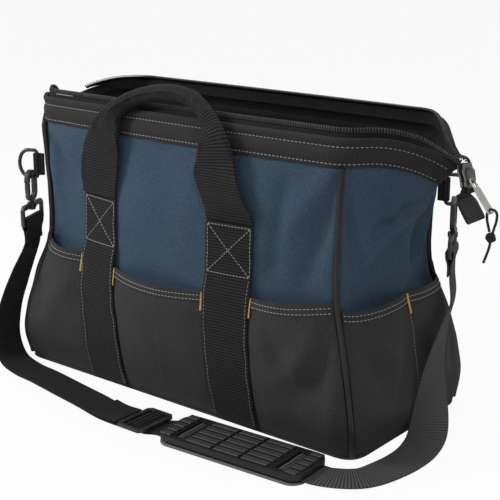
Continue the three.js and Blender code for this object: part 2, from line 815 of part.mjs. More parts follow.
function plateFrom(shape, low, thick) {
  const plate = new THREE.ExtrudeGeometry(shape, { depth: thick, bevelEnabled: false, curveSegments: 6 });
  return plate.translate(0, 0, low);
}

function sliderBody() {
  const half = sliderLength / 2;
  const shoulder = sliderWidth / 2 + 0.8;
  const tail = meshedY + beadWidth / 2 + 0.6 + 1.6;
  const leaf = shapeOf([
    [-shoulder, 5], [-tail, -2], [-tail, 2 - half], [2 - tail, -half], [tail - 2, -half], [tail, 2 - half],
    [tail, -2], [shoulder, 5], [shoulder - 1.5, half], [1.5 - shoulder, half],
  ]);
  const outer = plateFrom(leaf, channel, plateThick).applyMatrix4(toSide);
  const inner = plateFrom(leaf, -plateOut, plateThick).applyMatrix4(toSide);
  const post = block(2 * channel + 0.4, 2.6, 2.8, 0, 0, half - 1.9);
  const rims = [];
  for (const y of [-1, 1]) {
    for (const x of [-1, 1]) {
      const deep = channel - 0.7 + 0.2;
      rims.push(block(deep, 1.4, 5, x * (0.7 + deep / 2), y * (tail - 0.7), 4 - half));
    }
  }
  const over = [[8.4, -0.3], [7.6, 3.6], [4.6, 5.9], [-4.6, 5.9], [-7.6, 3.6], [-8.4, -0.3]];
  const under = [[-6.2, -0.3], [-5.8, 2.8], [-4, 3.9], [4, 3.9], [5.8, 2.8], [6.2, -0.3]];
  const arch = shapeOf([...over, ...under].map(([along, out]) => [along, plateOut + out]));
  const standing = new THREE.Matrix4().makeBasis(vec(0, 0, 1), vec(1, 0, 0), vec(0, 1, 0));
  const bail = plateFrom(arch, -1.5, 3).applyMatrix4(standing);
  return joined(outer, inner, post, ...rims, bail);
}

// The puller swings on its cross bar, which lies in the window under the slider's bail
const pivotX = plateOut + 1.95;
const pivotZ = -3.5;
const pullerSwing = THREE.MathUtils.degToRad(27);
const cordRadius = cordDiameter / 2;
const eyeRadius = cordRadius + 1;
const cordHole = pullerLength - eyeRadius - 1.8;

function pullerPlate() {
  const half = pullerWidth / 2;
  const end = pullerLength;
  const right = [[3.6, 1], [4.2, -2], [4.2, -9], [half, -12], [half, 2 - end], [half - 2, -end]];
  const plate = shapeOf([...right, ...right.map(([y, z]) => [-y, z]).reverse()]);
  const body = plateFrom(plate, -pullerThick / 2, pullerThick);
  const window = block(4.8, 6.8, 2 * pullerThick, 0, -4.6, 0);
  const eye = new THREE.CylinderGeometry(eyeRadius, eyeRadius, 2 * pullerThick, 12);
  eye.rotateX(Math.PI / 2).translate(0, -cordHole, 0);
  return cut(body, window, eye).applyMatrix4(toSide);
}

const slider = add('zip_slider', sliderBody(), colours.nickel, 0.3, 0.9);
slider.position.copy(sliderAt);
slider.rotation.y = -hangTilt;

const puller = add('zip_puller', pullerPlate(), colours.nickel, 0.3, 0.9);
puller.position.copy(vec(pivotX, 0, pivotZ).applyAxisAngle(vec(0, 1, 0), -hangTilt).add(sliderAt));
puller.rotation.y = -hangTilt - pullerSwing;

// The pull cord: a loop through the puller's hole down to a knot, and the knot's short tail
const swing = hangTilt + pullerSwing;
const eyeAt = puller.position.clone().add(vec(Math.sin(swing) * cordHole, 0, -Math.cos(swing) * cordHole));
const cordBend = 2 * cordDiameter;

function fromEye(x, z) {
  return eyeAt.clone().add(vec(x, 0, z));
}

function loopPoint(degrees) {
  const turn = THREE.MathUtils.degToRad(degrees) + swing;
  const middle = fromEye(Math.sin(swing) * cordBend, -Math.cos(swing) * cordBend);
  return middle.add(vec(cordBend * Math.sin(turn), 0, cordBend * Math.cos(turn)));
}

const strandTop = fromEye(3, -3.9);
const strand = [[1, 0], [0.9, -6], [0.55, -12], [0.35, -16]];
const strandLow = (side) => strand.map(([share, down]) => {
  const apart = Math.max(share * cordBend, cordRadius + 0.45);
  return vec(strandTop.x + side * apart, 0, strandTop.z + down);
});
const swingDegrees = THREE.MathUtils.radToDeg(swing);
const rise = [-68, -45, -22, 0, 22, 45, 68].map((degrees) => loopPoint(degrees - swingDegrees));
const cordLoop = [...strandLow(-1).reverse(), ...rise, ...strandLow(1)];
const knotAt = vec(strandTop.x, 0, cordLoop[0].z - knotDiameter / 2 - 0.3);
const cordTail = [[-0.4, 0], [-1.4, -5], [-3.6, -12], [-6, -19]].map(([x, z]) => (
  vec(knotAt.x + x, 0, knotAt.z - knotDiameter / 2 - 0.4 + z)
));

add('pull_cord', bar(cordLoop, cordRadius, 8, 22), colours.webbing, 0.9);
const knot = new THREE.IcosahedronGeometry(knotDiameter / 2, 2).translate(...knotAt);
add('pull_cord_knot', knot, colours.webbing, 0.9);
add('pull_cord_tail', bar(cordTail, cordRadius, 8, 8), colours.webbing, 0.9);

// Folded webbing tabs at both ends of the mouth
function endTab(start, down, narrow, wide, length) {
  const pairs = [0, 0.4, 1].map((f) => {
    const middle = start.clone().addScaledVector(down, f * length);
    const half = narrow + (wide - narrow) * f;
    return [middle.clone().setY(-half), middle.clone().setY(half)];
  });
  return band(pairs, tabThick);
}

const tabDown = vec(0.55, 0, -0.83).normalize();
const tabStart = alongSlider(17 + 0.37 * tabThick);
const tabNarrow = 9;
const rightTab = endTab(tabStart, tabDown, tabNarrow, tabWidth / 2, tabLength);
add('right_end_tab', rightTab, colours.webbing, 0.85);
const leftTabDown = vec(-0.3, 0, -0.95).normalize();
const leftTabStart = vec(-tipX - 2.4, 0, tipZ + 3);
const leftTab = endTab(leftTabStart, leftTabDown, tabNarrow, tabWidth / 2 - 2, tabLength);
add('left_end_tab', leftTab, colours.webbing, 0.85);

// Rings at two opposite corners, each in a webbing tab on the corner's piping. The local frame
// has x out from the bag, along the line through both rings, and z up.
const pipingOut = pipingRadius + layerGap + 2 * gap;
const ringCorner = wall(2 - cornerAt, ringHeight, pipingOut);
const ringTurn = Math.atan2(ringCorner.y, ringCorner.x);
const ringStart = Math.hypot(ringCorner.x, ringCorner.y) + pipingRadius + 2 * gap;
const ringRadius = ringBar / 2;
const ringBarX = 8;
const ringHalf = ringInside / 2 + ringRadius;
const hookX = ringBarX + 9;

function placed(mesh, turn, distance, height) {
  mesh.position.set(Math.cos(turn) * distance, Math.sin(turn) * distance, height);
  mesh.rotation.z = turn;
}

function ringTab() {
  const hold = ringRadius + gap;
  const out = hold + webbingThick;
  const shape = shapeOf([[0, -webbingThick], [3, -webbingThick]]);
  shape.absarc(ringBarX, 0, out, -0.65 * Math.PI, 0.65 * Math.PI, false);
  shape.lineTo(3, webbingThick);
  shape.lineTo(0, webbingThick);
  shape.holes.push(new THREE.Path().absarc(ringBarX, 0, hold, 0, 2 * Math.PI, true));
  return plateFrom(shape, -ringTabHeight / 2, ringTabHeight);
}

function ringPath() {
  const points = [vec(ringBarX, 0, -ringHalf + 3), vec(ringBarX, 0, 0), vec(ringBarX, 0, ringHalf - 3)];
  points.push(vec(ringBarX + 0.9, 0, ringHalf - 0.9), vec(ringBarX + 3, 0, ringHalf));
  const bowX = hookX + 1;
  const bowReach = ringReach - 4;
  points.push(vec(hookX - 3, 0, ringHalf));
  for (let i = 0; i <= 8; i += 1) {
    const turn = (0.5 - i / 8) * Math.PI;
    points.push(vec(bowX + bowReach * Math.cos(turn), 0, ringHalf * Math.sin(turn)));
  }
  points.push(vec(hookX - 3, 0, -ringHalf), vec(ringBarX + 3, 0, -ringHalf));
  points.push(vec(ringBarX + 0.9, 0, -ringHalf + 0.9));
  return points;
}

function ringOfWire(points, radius, sides) {
  const side = vec(0, 1, 0);
  const rings = points.map((point, i) => {
    const before = points[(i + points.length - 1) % points.length];
    const after = points[(i + 1) % points.length];
    const out = after.clone().sub(before).cross(side).normalize();
    const ring = [];
    for (let k = 0; k < sides; k += 1) {
      const turn = ((k + 0.5) / sides) * 2 * Math.PI;
      const spot = point.clone().addScaledVector(out, radius * Math.cos(turn));
      ring.push(spot.addScaledVector(side, radius * Math.sin(turn)));
    }
    return ring;
  });
  return sweep(rings, true);
}

// Snap hooks: x out along the ring's wire, y across, z up from the wire that the hook hangs on
const hookPlay = 0.95;
const hookHalf = hookWidth / 2;
const openingHalf = hookHalf - hookBar;
const openingTop = ringRadius + hookPlay;
const hookTop = openingTop + hookBar;
const openingLow = openingTop - hookOpening;
const hookLow = openingLow - hookBar;
const gateTop = openingTop - 0.32 * hookOpening;
const gateLow = gateTop - gateLength;
const gateY = openingHalf + hookBar / 2;
const gatePivot = gateLow + hookBar / 2;
const stemRadius = 2.4;
const loopTop = hookLow - 1.5;
const loopTopBar = 5.5;
const loopHalf = strapWebbing / 2 + 2 + loopBar;
const windowTop = loopTop - loopTopBar;
const windowLow = windowTop - loopDepth;
const loopLow = windowLow - loopBar;
const loopBarZ = windowLow - loopBar / 2;

function capsule(path, half, top, low) {
  path.absarc(0, top - half, half, 0, Math.PI, false);
  path.absarc(0, low + half, half, Math.PI, 2 * Math.PI, false);
  path.closePath();
  return path;
}

function upright(shape, thick) {
  return plateFrom(shape, -thick / 2, thick).applyMatrix4(toSide);
}

function cylinder(radius, low, high, sides = 12) {
  const height = high - low;
  const post = new THREE.CylinderGeometry(radius, radius, height, sides);
  return post.rotateX(Math.PI / 2).translate(0, 0, low + height / 2);
}

function snapHook() {
  const shape = capsule(new THREE.Shape(), hookHalf, hookTop, hookLow);
  shape.holes.push(capsule(new THREE.Path(), openingHalf, openingTop, openingLow));
  const frame = upright(shape, hookBar);
  const gateRoom = block(2 * hookBar, hookBar + 2, gateLength, 0, gateY, (gateTop + gateLow) / 2);
  const stem = cylinder(stemRadius, windowTop - 1, hookLow + 1);
  const head = cylinder(stemRadius + 1.6, windowTop - 2.4, windowTop - 2 * gap);
  return joined(cut(frame, gateRoom), stem, head);
}

function hookGate() {
  const half = hookBar / 2 - gap;
  const shape = new THREE.Shape();
  shape.absarc(gateY, gatePivot, half, Math.PI, 2 * Math.PI, false);
  shape.lineTo(gateY + half, gateTop - gap);
  shape.lineTo(gateY - half, gateTop - gap);
  return upright(shape, hookBar);
}

function strapLoop() {
  const outer = shapeOf([
    [-loopHalf, loopLow + 2], [2 - loopHalf, loopLow], [loopHalf - 2, loopLow], [loopHalf, loopLow + 2],
    [loopHalf, loopTop - 4], [loopHalf - 4, loopTop], [4 - loopHalf, loopTop], [-loopHalf, loopTop - 4],
  ]);
  const inner = loopHalf - loopBar;
  const window = [[-inner, windowLow], [-inner, windowTop], [inner, windowTop], [inner, windowLow]];
  outer.holes.push(shapeOf(window));
  const frame = upright(outer, loopBar);
  const boss = cylinder(stemRadius + 2.8, windowTop, loopTop);
  return cut(joined(frame, boss), cylinder(stemRadius + gap, windowTop - 1, loopTop + 1));
}

function addMetal(name, geometry) {
  return add(name, geometry, colours.blackMetal, 0.35, 0.8);
}

const hookDistance = ringStart + hookX;
const hookHeight = ringHeight - ringHalf;
for (const [hand, turn] of [['right', ringTurn], ['left', ringTurn + Math.PI]]) {
  const tab = add(`ring_tab_${hand}`, ringTab(), colours.webbing, 0.85);
  const ring = addMetal(`d_ring_${hand}`, ringOfWire(ringPath(), ringRadius, 6));
  placed(tab, turn, ringStart, ringHeight);
  placed(ring, turn, ringStart, ringHeight);
  placed(addMetal(`snap_hook_${hand}`, snapHook()), turn, hookDistance, hookHeight);
  placed(addMetal(`hook_gate_${hand}`, hookGate()), turn, hookDistance, hookHeight);
  placed(addMetal(`strap_loop_${hand}`, strapLoop()), turn, hookDistance, hookHeight);
}

// Shoulder strap: webbing round each loop's lower bar, down to the floor and in front of the bag.
// Each stop has its middle and the way its width points. It is given by how far it lies beyond
// the left end, the right end or the front of the base.
const strapHalf = strapWebbing / 2;
const strapHalfThick = webbingThick / 2;
const strapLie = strapHalfThick + 0.1;

function strapStop(x, front, z, wideX, wideY) {
  return { at: vec(x, -halfDepth - front, z), wide: vec(wideX, wideY, 0).normalize() };
}

function leftStop(beyond, front, z, wideX, wideY) {
  return strapStop(-halfLength - beyond, front, z, wideX, wideY);
}

function rightStop(beyond, y, z, wideX, wideY) {
  return strapStop(halfLength + beyond, -halfDepth - y, z, wideX, wideY);
}

function strapBand(stops, between) {
  const path = new THREE.CatmullRomCurve3(stops.map((stop) => stop.at), false, 'centripetal');
  const pairs = [];
  const count = (stops.length - 1) * between;
  for (let i = 0; i <= count; i += 1) {
    const place = i / between;
    const k = Math.min(Math.floor(place), stops.length - 2);
    const wide = stops[k].wide.clone().lerp(stops[k + 1].wide, place - k).setLength(strapHalf);
    const middle = path.getPoint(i / count);
    middle.z = Math.max(middle.z, strapLie);
    pairs.push([middle.clone().add(wide), middle.clone().sub(wide)]);
  }
  return band(pairs, webbingThick);
}

// The turn of the webbing round a loop's bar, from its sewn end to 24 mm below the bar
function turnRound(turn) {
  const wrap = loopBar / 2 + gap + strapHalfThick + 0.4;
  const layer = strapHalfThick + gap;
  const low = -24;
  const out = vec(Math.cos(turn), Math.sin(turn), 0);
  const wide = vec(out.y, -out.x, 0);
  const turnBar = out.clone().multiplyScalar(hookDistance).setZ(hookHeight + loopBarZ);
  const far = [[0.55 * wrap, 0.9 * wrap], [wrap, 1], [wrap, -4], [layer + 0.3, -12], [layer, low]];
  const near = far.map(([x, z]) => [-x, z]).reverse();
  return [...near, ...far].map(([x, z]) => {
    const at = turnBar.clone().addScaledVector(out, x);
    at.z += z;
    return { at, wide };
  });
}

const padCentre = vec(halfLength - 92, -halfDepth - 51, 0);
const padTurn = 0.06;
const padAlong = vec(Math.cos(padTurn), Math.sin(padTurn), 0);
const padSide = vec(-padAlong.y, padAlong.x, 0);
const backingTop = 0.1 + backingThick;
const padWebZ = backingTop + gap + strapHalfThick;
const adjusterFront = 62;
const adjusterAt = vec(padCentre.x - 113, -halfDepth - adjusterFront, 0);
const adjusterLow = padWebZ + strapHalfThick + 2 * gap;
const webbingOver = adjusterLow + adjusterThick + gap + strapHalfThick + 0.2;

function padStop(distance, height) {
  const at = padCentre.clone().addScaledVector(padAlong, distance).setZ(height);
  return { at, wide: padSide };
}

// Over the adjuster's middle bar: each place along it, and how far the webbing has risen to it
const weaveRise = webbingOver - padWebZ;
const weave = [
  [2 - adjusterLength / 2, -0.16], [-12.5, 0], [-9, 0.3], [-5.4, 0.77], [-3, 0.97],
  [0, 1], [3, 0.97], [5.4, 0.77], [9, 0.3], [12.5, 0],
];
const weaveStops = weave.map(([x, risen]) => (
  strapStop(adjusterAt.x + x, adjusterFront, padWebZ + risen * weaveRise, 0, 1)
));

const leftRun = [
  ...turnRound(ringTurn + Math.PI),
  leftStop(1, 2, 108, -0.22, 0.97),
  leftStop(9, 9, 82, -0.12, 0.99),
  leftStop(13, 17, 54, -0.08, 1),
  leftStop(9, 25, 26, -0.04, 1),
  leftStop(-7, 31, 7, 0, 1),
  leftStop(-33, 35, 1.6, 0, 1),
  leftStop(-68, 39, strapLie, 0.04, 1),
  leftStop(-118, 47, strapLie, 0.12, 1),
  leftStop(-163, 55, strapLie, 0.12, 1),
  strapStop(adjusterAt.x - 43, adjusterFront - 1, strapLie, 0.04, 1),
];
const leftBand = strapBand([...leftRun, ...weaveStops.slice(0, 6)], 2);
add('strap_webbing_left', leftBand, colours.webbing, 0.85);

const padHalf = padLength / 2;
const middleRun = [
  strapStop(adjusterAt.x + 2 * gap, adjusterFront, webbingOver, 0, 1),
  ...weaveStops.slice(6),
  ...[-padHalf - 6, 4 - padHalf, 0, padHalf - 2].map((distance) => padStop(distance, padWebZ)),
];
add('strap_webbing_middle', strapBand(middleRun, 2), colours.webbing, 0.85);

const rightRun = [
  padStop(padHalf - 2 + gap, padWebZ),
  padStop(padHalf + 7, padWebZ),
  rightStop(25, -122, 2.4, -0.7, 0.7),
  rightStop(33, -96, strapLie, -0.95, 0.3),
  rightStop(37, -64, strapLie, -1, 0),
  rightStop(35, -35, 1.8, -0.98, -0.2),
  rightStop(30, -13, 7, -0.88, -0.48),
  rightStop(25, 0, 23, -0.6, -0.8),
  rightStop(21, 7, 49, -0.2, -0.98),
  rightStop(20, 15, 80, 0.1, -0.99),
  rightStop(17, 34, 103, 0.3, -0.95),
  rightStop(8, 64, 121, 0.39, -0.92),
  ...turnRound(ringTurn).reverse(),
];
add('strap_webbing_right', strapBand(rightRun, 2), colours.webbing, 0.85);

const endLie = strapLie + webbingThick + 2 * gap;
const looseEnd = [
  strapStop(adjusterAt.x - 64, adjusterFront - 4.5, endLie, 0.12, 1),
  strapStop(adjusterAt.x - 43, adjusterFront - 1, endLie, 0.04, 1),
  strapStop(adjusterAt.x - 23, adjusterFront, endLie + 1.2, 0, 1),
];
add('strap_webbing_end', strapBand(looseEnd, 2), colours.webbing, 0.85);

// The adjuster: a three-bar slide that the webbing weaves through
function adjuster() {
  const wide = adjusterWidth / 2;
  const long = adjusterLength / 2;
  const shape = shapeOf([
    [-long, -wide + 4], [-long + 4, -wide], [long - 4, -wide], [long, -wide + 4],
    [long, wide - 4], [long - 4, wide], [-long + 4, wide], [-long, wide - 4],
  ]);
  const clear = strapHalf + 1.5;
  const windows = [-7.5, 7.5].map((x) => block(9, 2 * clear, 3 * adjusterThick, x, 0, adjusterLow));
  return cut(plateFrom(shape, adjusterLow, adjusterThick), ...windows);
}

add('strap_adjuster', adjuster(), colours.blackMetal, 0.35, 0.7).position.copy(adjusterAt);

// The shoulder pad: a moulded plate with rows of raised bars and a slot near each end that shows
// the webbing, on a thinner foam backing
function roundedPlate(length, width, radius, low, thick) {
  const shape = new THREE.Shape();
  const x = length / 2 - radius;
  const y = width / 2 - radius;
  shape.absarc(x, -y, radius, -0.5 * Math.PI, 0, false);
  shape.absarc(x, y, radius, 0, 0.5 * Math.PI, false);
  shape.absarc(-x, y, radius, 0.5 * Math.PI, Math.PI, false);
  shape.absarc(-x, -y, radius, Math.PI, 1.5 * Math.PI, false);
  return plateFrom(shape, low, thick);
}

const padLow = padWebZ + strapHalfThick + gap;
const padSlotAt = padHalf - 24;
const padSlotWidth = 10;
const padSlotLength = strapWebbing + 4;
const padBarRows = 5;
const padBarWide = 5;
const padBarHigh = 1.8;

function shoulderPad() {
  const plate = roundedPlate(padLength, padWidth, 14, padLow, padThick - padBarHigh);
  const slot = (side) => block(padSlotWidth, padSlotLength, 4 * padThick, side * padSlotAt, 0, padLow);
  const bars = [];
  const top = padLow + padThick - padBarHigh;
  const panel = (2 * (padSlotAt - padSlotWidth)) / 3;
  const pitch = (padWidth - 14) / (padBarRows - 1);
  for (let row = 0; row < padBarRows; row += 1) {
    const y = (row - (padBarRows - 1) / 2) * pitch;
    for (const column of [-1, 0, 1]) {
      const barZ = top + padBarHigh / 2 - 0.5;
      bars.push(block(panel - 4, padBarWide, padBarHigh + 1, column * panel, y, barZ));
    }
  }
  return joined(cut(plate, slot(-1), slot(1)), ...bars);
}

const backing = roundedPlate(padLength, padWidth + 2, 15, 0.1, backingThick);
for (const mesh of [
  add('shoulder_pad', shoulderPad(), colours.rubber, 0.7),
  add('shoulder_pad_backing', backing, colours.greyFoam, 0.9),
]) {
  mesh.position.copy(padCentre);
  mesh.rotation.z = padTurn;
}

export default bag;
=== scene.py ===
# %% [markdown]
# # A zippered tool bag
# An open-mouth bag for hand tools: blue cloth above, dark pockets round the lower half, a collar
# with a zip whose ends are pinched together, webbing handles and a padded shoulder strap. The
# frame holds the measured solids and their joints. Every piece of cloth here is lofted again as a
# finer skin in the same place, and the hardware is drawn again with rounded edges.

# %% Frame
import json
import math
import bpy
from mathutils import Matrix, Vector, noise

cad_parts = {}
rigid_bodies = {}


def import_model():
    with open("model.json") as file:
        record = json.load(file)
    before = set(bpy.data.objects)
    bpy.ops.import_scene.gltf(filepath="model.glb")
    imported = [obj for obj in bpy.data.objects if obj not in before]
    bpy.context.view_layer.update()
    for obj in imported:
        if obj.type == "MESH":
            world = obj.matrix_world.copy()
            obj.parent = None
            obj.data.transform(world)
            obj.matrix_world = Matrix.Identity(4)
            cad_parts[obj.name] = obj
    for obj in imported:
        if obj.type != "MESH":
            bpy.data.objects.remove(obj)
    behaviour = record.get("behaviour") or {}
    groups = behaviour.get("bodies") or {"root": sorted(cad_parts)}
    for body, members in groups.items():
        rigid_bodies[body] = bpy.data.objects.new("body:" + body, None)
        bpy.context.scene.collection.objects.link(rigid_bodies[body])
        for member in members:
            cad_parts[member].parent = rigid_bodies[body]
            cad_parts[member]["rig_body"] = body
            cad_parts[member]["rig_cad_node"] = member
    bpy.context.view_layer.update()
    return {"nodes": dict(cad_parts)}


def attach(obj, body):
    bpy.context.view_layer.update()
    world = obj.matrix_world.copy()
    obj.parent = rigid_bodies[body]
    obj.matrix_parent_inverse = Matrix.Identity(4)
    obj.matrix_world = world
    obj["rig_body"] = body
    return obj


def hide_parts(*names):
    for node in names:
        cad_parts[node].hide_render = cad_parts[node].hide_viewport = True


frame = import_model()

# %% [markdown]
# ## Camera
# The bag is seen from its right front corner, a little from above. A camera 1.3 m away with
# a short telephoto lens gives the same mild perspective as the photograph: the near corner is
# lowest and the long top edge falls gently to the right. A wider lens closer in would
# spread the ends, so the distance was settled first, from the bag's own corners.

# %% Camera
AZIMUTH = math.radians(39)
ELEVATION = math.radians(16)
CAMERA_PLACE = Vector((0.7866, -0.9417, 0.4951))
LENS = 86.4

camera_data = bpy.data.cameras.new("camera")
camera_data.lens = LENS
camera_data.sensor_width = 36
camera_data.clip_start = 0.05
camera = bpy.data.objects.new("camera", camera_data)
camera.location = CAMERA_PLACE
camera.rotation_euler = (math.pi / 2 - ELEVATION, 0, AZIMUTH)
bpy.context.scene.collection.objects.link(camera)
bpy.context.scene.camera = camera
bpy.context.scene.view_settings.view_transform = "Standard"
print("camera at", tuple(camera.location))

# %% [markdown]
# ## Lengths and smooth lines
# Every size is written in millimetres, as on the pattern, and turned into metres when a mesh is
# made. Straps, handles and cords follow smooth lines through a few chosen points. A centripetal
# Catmull-Rom curve passes through all of them and does not overshoot where they are close.

# %% Lines
MM = 0.001
GAP = 0.3


def vec(x, y, z):
    return Vector((x, y, z))


def mix(a, b, share):
    return a + (b - a) * share


def smooth(low, high, value):
    t = min(1.0, max(0.0, (value - low) / (high - low)))
    return t * t * (3 - 2 * t)


def curve_point(points, t):
    """The point at share t of a smooth line through all the points."""
    place = t * (len(points) - 1)
    k = min(int(place), len(points) - 2)
    f = place - k
    p1, p2 = points[k], points[k + 1]
    p0 = points[k - 1] if k > 0 else p1 * 2 - p2
    p3 = points[k + 2] if k + 2 < len(points) else p2 * 2 - p1
    d0 = math.sqrt((p1 - p0).length) or 1.0
    d1 = math.sqrt((p2 - p1).length) or 1.0
    d2 = math.sqrt((p3 - p2).length) or 1.0
    t1 = ((p1 - p0) / d0 - (p2 - p0) / (d0 + d1) + (p2 - p1) / d1) * d1
    t2 = ((p2 - p1) / d1 - (p3 - p1) / (d1 + d2) + (p3 - p2) / d2) * d1
    c2 = (p2 - p1) * 3 - t1 * 2 - t2
    c3 = (p1 - p2) * 2 + t1 + t2
    return p1 + t1 * f + c2 * f * f + c3 * f * f * f


def smooth_line(points, count):
    return [curve_point(points, i / count) for i in range(count + 1)]


def even_line(points, step):
    """The smooth line through the points, cut into equal steps."""
    fine = smooth_line(points, 40 * (len(points) - 1))
    total = sum((b - a).length for a, b in zip(fine, fine[1:]))
    count = max(2, round(total / step))
    line, walked, k = [fine[0]], 0.0, 0
    for i in range(1, count):
        want = total * i / count
        while walked + (fine[k + 1] - fine[k]).length < want:
            walked += (fine[k + 1] - fine[k]).length
            k += 1
        rest = (want - walked) / (fine[k + 1] - fine[k]).length
        line.append(fine[k].lerp(fine[k + 1], rest))
    return line + [fine[-1]]


def line_length(points):
    return sum((b - a).length for a, b in zip(points, points[1:]))


def walk(stops, steps, near):
    """Steps along stops that each begin with a place: the step, its share of the way, the stop
    before it, the part of the way to the next one, the place and the way on."""
    line = [stop[0] for stop in stops]
    count = (len(stops) - 1) * steps
    for k in range(count + 1):
        t = k / count
        i = min(k // steps, len(stops) - 2)
        on = curve_point(line, min(1, t + near)) - curve_point(line, max(0, t - near))
        yield k, t, i, k / steps - i, curve_point(line, t), on.normalized()

# %% [markdown]
# ## Objects from points
# A sheet, a strap and a tube are all a grid of points, so one function turns a grid into a mesh.
# It also writes a UV map in metres, along and across the piece, so that weave and ribs keep their
# real size and follow every bend. Other ways to lay out a weave, such as a box projection, would
# cut across the folds.

# %% Meshes
def deselect():
    for thing in bpy.context.view_layer.objects:
        thing.select_set(False)


def choose(piece):
    deselect()
    piece.select_set(True)
    bpy.context.view_layer.objects.active = piece


def apply_all(piece):
    choose(piece)
    for name in [m.name for m in piece.modifiers]:
        bpy.ops.object.modifier_apply(modifier=name)


def outward(piece):
    """Turns the normal of every face outwards."""
    choose(piece)
    bpy.ops.object.mode_set(mode="EDIT")
    bpy.ops.mesh.select_all(action="SELECT")
    bpy.ops.mesh.normals_make_consistent(inside=False)
    bpy.ops.object.mode_set(mode="OBJECT")
    return piece


def new_object(name, points, faces, corner_uv=None):
    mesh = bpy.data.meshes.new(name)
    mesh.from_pydata([p * MM for p in points], [], faces)
    piece = bpy.data.objects.new(name, mesh)
    bpy.context.scene.collection.objects.link(piece)
    if corner_uv:
        layer = mesh.uv_layers.new(name="UVMap")
        for k, uv in enumerate(corner_uv):
            layer.data[k].uv = uv
    return piece


def grid_faces(rows, columns, closed=False, first=0):
    """Faces over rows of points. Closed joins each row's last point to its first."""
    faces = []
    across = columns if closed else columns - 1
    for j in range(rows - 1):
        low, high = first + j * columns, first + (j + 1) * columns
        for i in range(across):
            k = (i + 1) % columns
            faces.append((low + i, low + k, high + k, high + i))
    return faces


def stack_faces(first, sides, levels):
    """Faces of a small solid made of rings of points, with its two ends closed."""
    last = first + sides * (levels - 1)
    ends = [tuple(range(first + sides - 1, first - 1, -1)), tuple(range(last, last + sides))]
    return grid_faces(levels, sides, True, first) + ends


def measured_uv(rows, closed=False):
    """A corner's UV: metres along its row, and metres up the middle of the rows."""
    columns = len(rows[0])
    middle = rows[len(rows) // 2]
    along = [0.0]
    for a, b in zip(middle, middle[1:] + middle[:1]):
        along.append(along[-1] + (b - a).length * MM)
    up = [0.0]
    if closed:
        middles = [sum(row, Vector()) / columns for row in rows]
    else:
        middles = [row[columns // 2] for row in rows]
    for a, b in zip(middles, middles[1:]):
        up.append(up[-1] + (b - a).length * MM)
    uv = []
    across = columns if closed else columns - 1
    for j in range(len(rows) - 1):
        for i in range(across):
            uv += [
                (along[i], up[j]), (along[i + 1], up[j]), (along[i + 1], up[j + 1]),
                (along[i], up[j + 1])
            ]
    return uv


def cloth(name, rows, thick, inside=0):
    """A sheet whose outer face is the grid, with its thickness behind it."""
    points = [p for row in rows for p in row]
    piece = new_object(name, points, grid_faces(len(rows), len(rows[0])), measured_uv(rows))
    skin = piece.modifiers.new("thickness", "SOLIDIFY")
    skin.thickness = thick * MM
    skin.offset = -1
    skin.use_even_offset = False
    skin.material_offset = inside
    return piece


def rounded_edge(piece, width, steps=2, angle=50):
    bevel = piece.modifiers.new("edge", "BEVEL")
    bevel.width = width * MM
    bevel.segments = steps
    bevel.limit_method = "ANGLE"
    bevel.angle_limit = math.radians(angle)


def shade(piece, angle=40):
    choose(piece)
    bpy.ops.object.shade_smooth_by_angle(angle=math.radians(angle))


def swept(name, rings, closed=False):
    """A skin over closed rings of points, such as a tube, a strap or a grip."""
    sides = len(rings[0])
    loops = rings + [rings[0]] if closed else rings
    faces = grid_faces(len(loops), sides, True)
    uv = measured_uv(loops, True)
    if closed:
        last = len(rings) * sides
        faces = [tuple(k - last if k >= last else k for k in f) for f in faces]
    points = [p for ring in rings for p in ring]
    if not closed:
        end = (len(rings) - 1) * sides
        faces.append(tuple(range(sides - 1, -1, -1)))
        faces.append(tuple(range(end, end + sides)))
        uv += [(0, 0)] * (2 * sides)
    piece = new_object(name, points, faces, uv)
    return outward(piece)


def tube_rings(line, radius, sides, side, closed=False):
    """Round rings along a line, each turned as little as possible from the one before. The first
    one starts at the given side."""
    rings = []
    count = len(line)
    for k, point in enumerate(line):
        before = line[k - 1] if k or closed else line[0]
        after = line[(k + 1) % count] if k + 1 < count or closed else line[-1]
        along = (after - before).normalized()
        side = (side - along * side.dot(along)).normalized()
        other = along.cross(side)
        turns = [2 * math.pi * (i + 0.5) / sides for i in range(sides)]
        rings.append([point + (side * math.cos(a) + other * math.sin(a)) * radius for a in turns])
    return rings

# %% [markdown]
# ## Shader sums
# A finish is a small tree of nodes. To keep it readable, a socket is wrapped so that it can be
# added and multiplied like a number, and one method makes any other node from its type, its
# settings and its inputs. Colours are mixed with Mix nodes, because a Math node turns them grey.

# %% Shader sums
class Signal:
    """An output socket of a node tree, for use in sums."""

    def __init__(self, owner, socket):
        self.owner = owner
        self.socket = socket

    def sum_with(self, kind, first, second):
        return self.owner.node("ShaderNodeMath", {"operation": kind}, first, second)

    def __add__(self, other):
        return self.sum_with("ADD", self, other)

    def __radd__(self, other):
        return self.sum_with("ADD", other, self)

    def __sub__(self, other):
        return self.sum_with("SUBTRACT", self, other)

    def __rsub__(self, other):
        return self.sum_with("SUBTRACT", other, self)

    def __mul__(self, other):
        return self.sum_with("MULTIPLY", self, other)

    def __rmul__(self, other):
        return self.sum_with("MULTIPLY", other, self)

    def __pow__(self, other):
        return self.sum_with("POWER", self, other)


class Tree:
    """A node tree that is filled by code."""

    def __init__(self, tree):
        self.tree = tree

    def node(self, kind, settings, *inputs, out=0, **named):
        made = self.tree.nodes.new(kind)
        for key, value in settings.items():
            setattr(made, key, value)
        for key, value in list(enumerate(inputs)) + list(named.items()):
            if isinstance(key, str):
                key = key.replace("_", " ")
            self.feed(made.inputs[key], value)
        return Signal(self, made.outputs[out])

    def feed(self, socket, value):
        if isinstance(value, Signal):
            self.tree.links.new(value.socket, socket)
        elif value is not None:
            socket.default_value = value


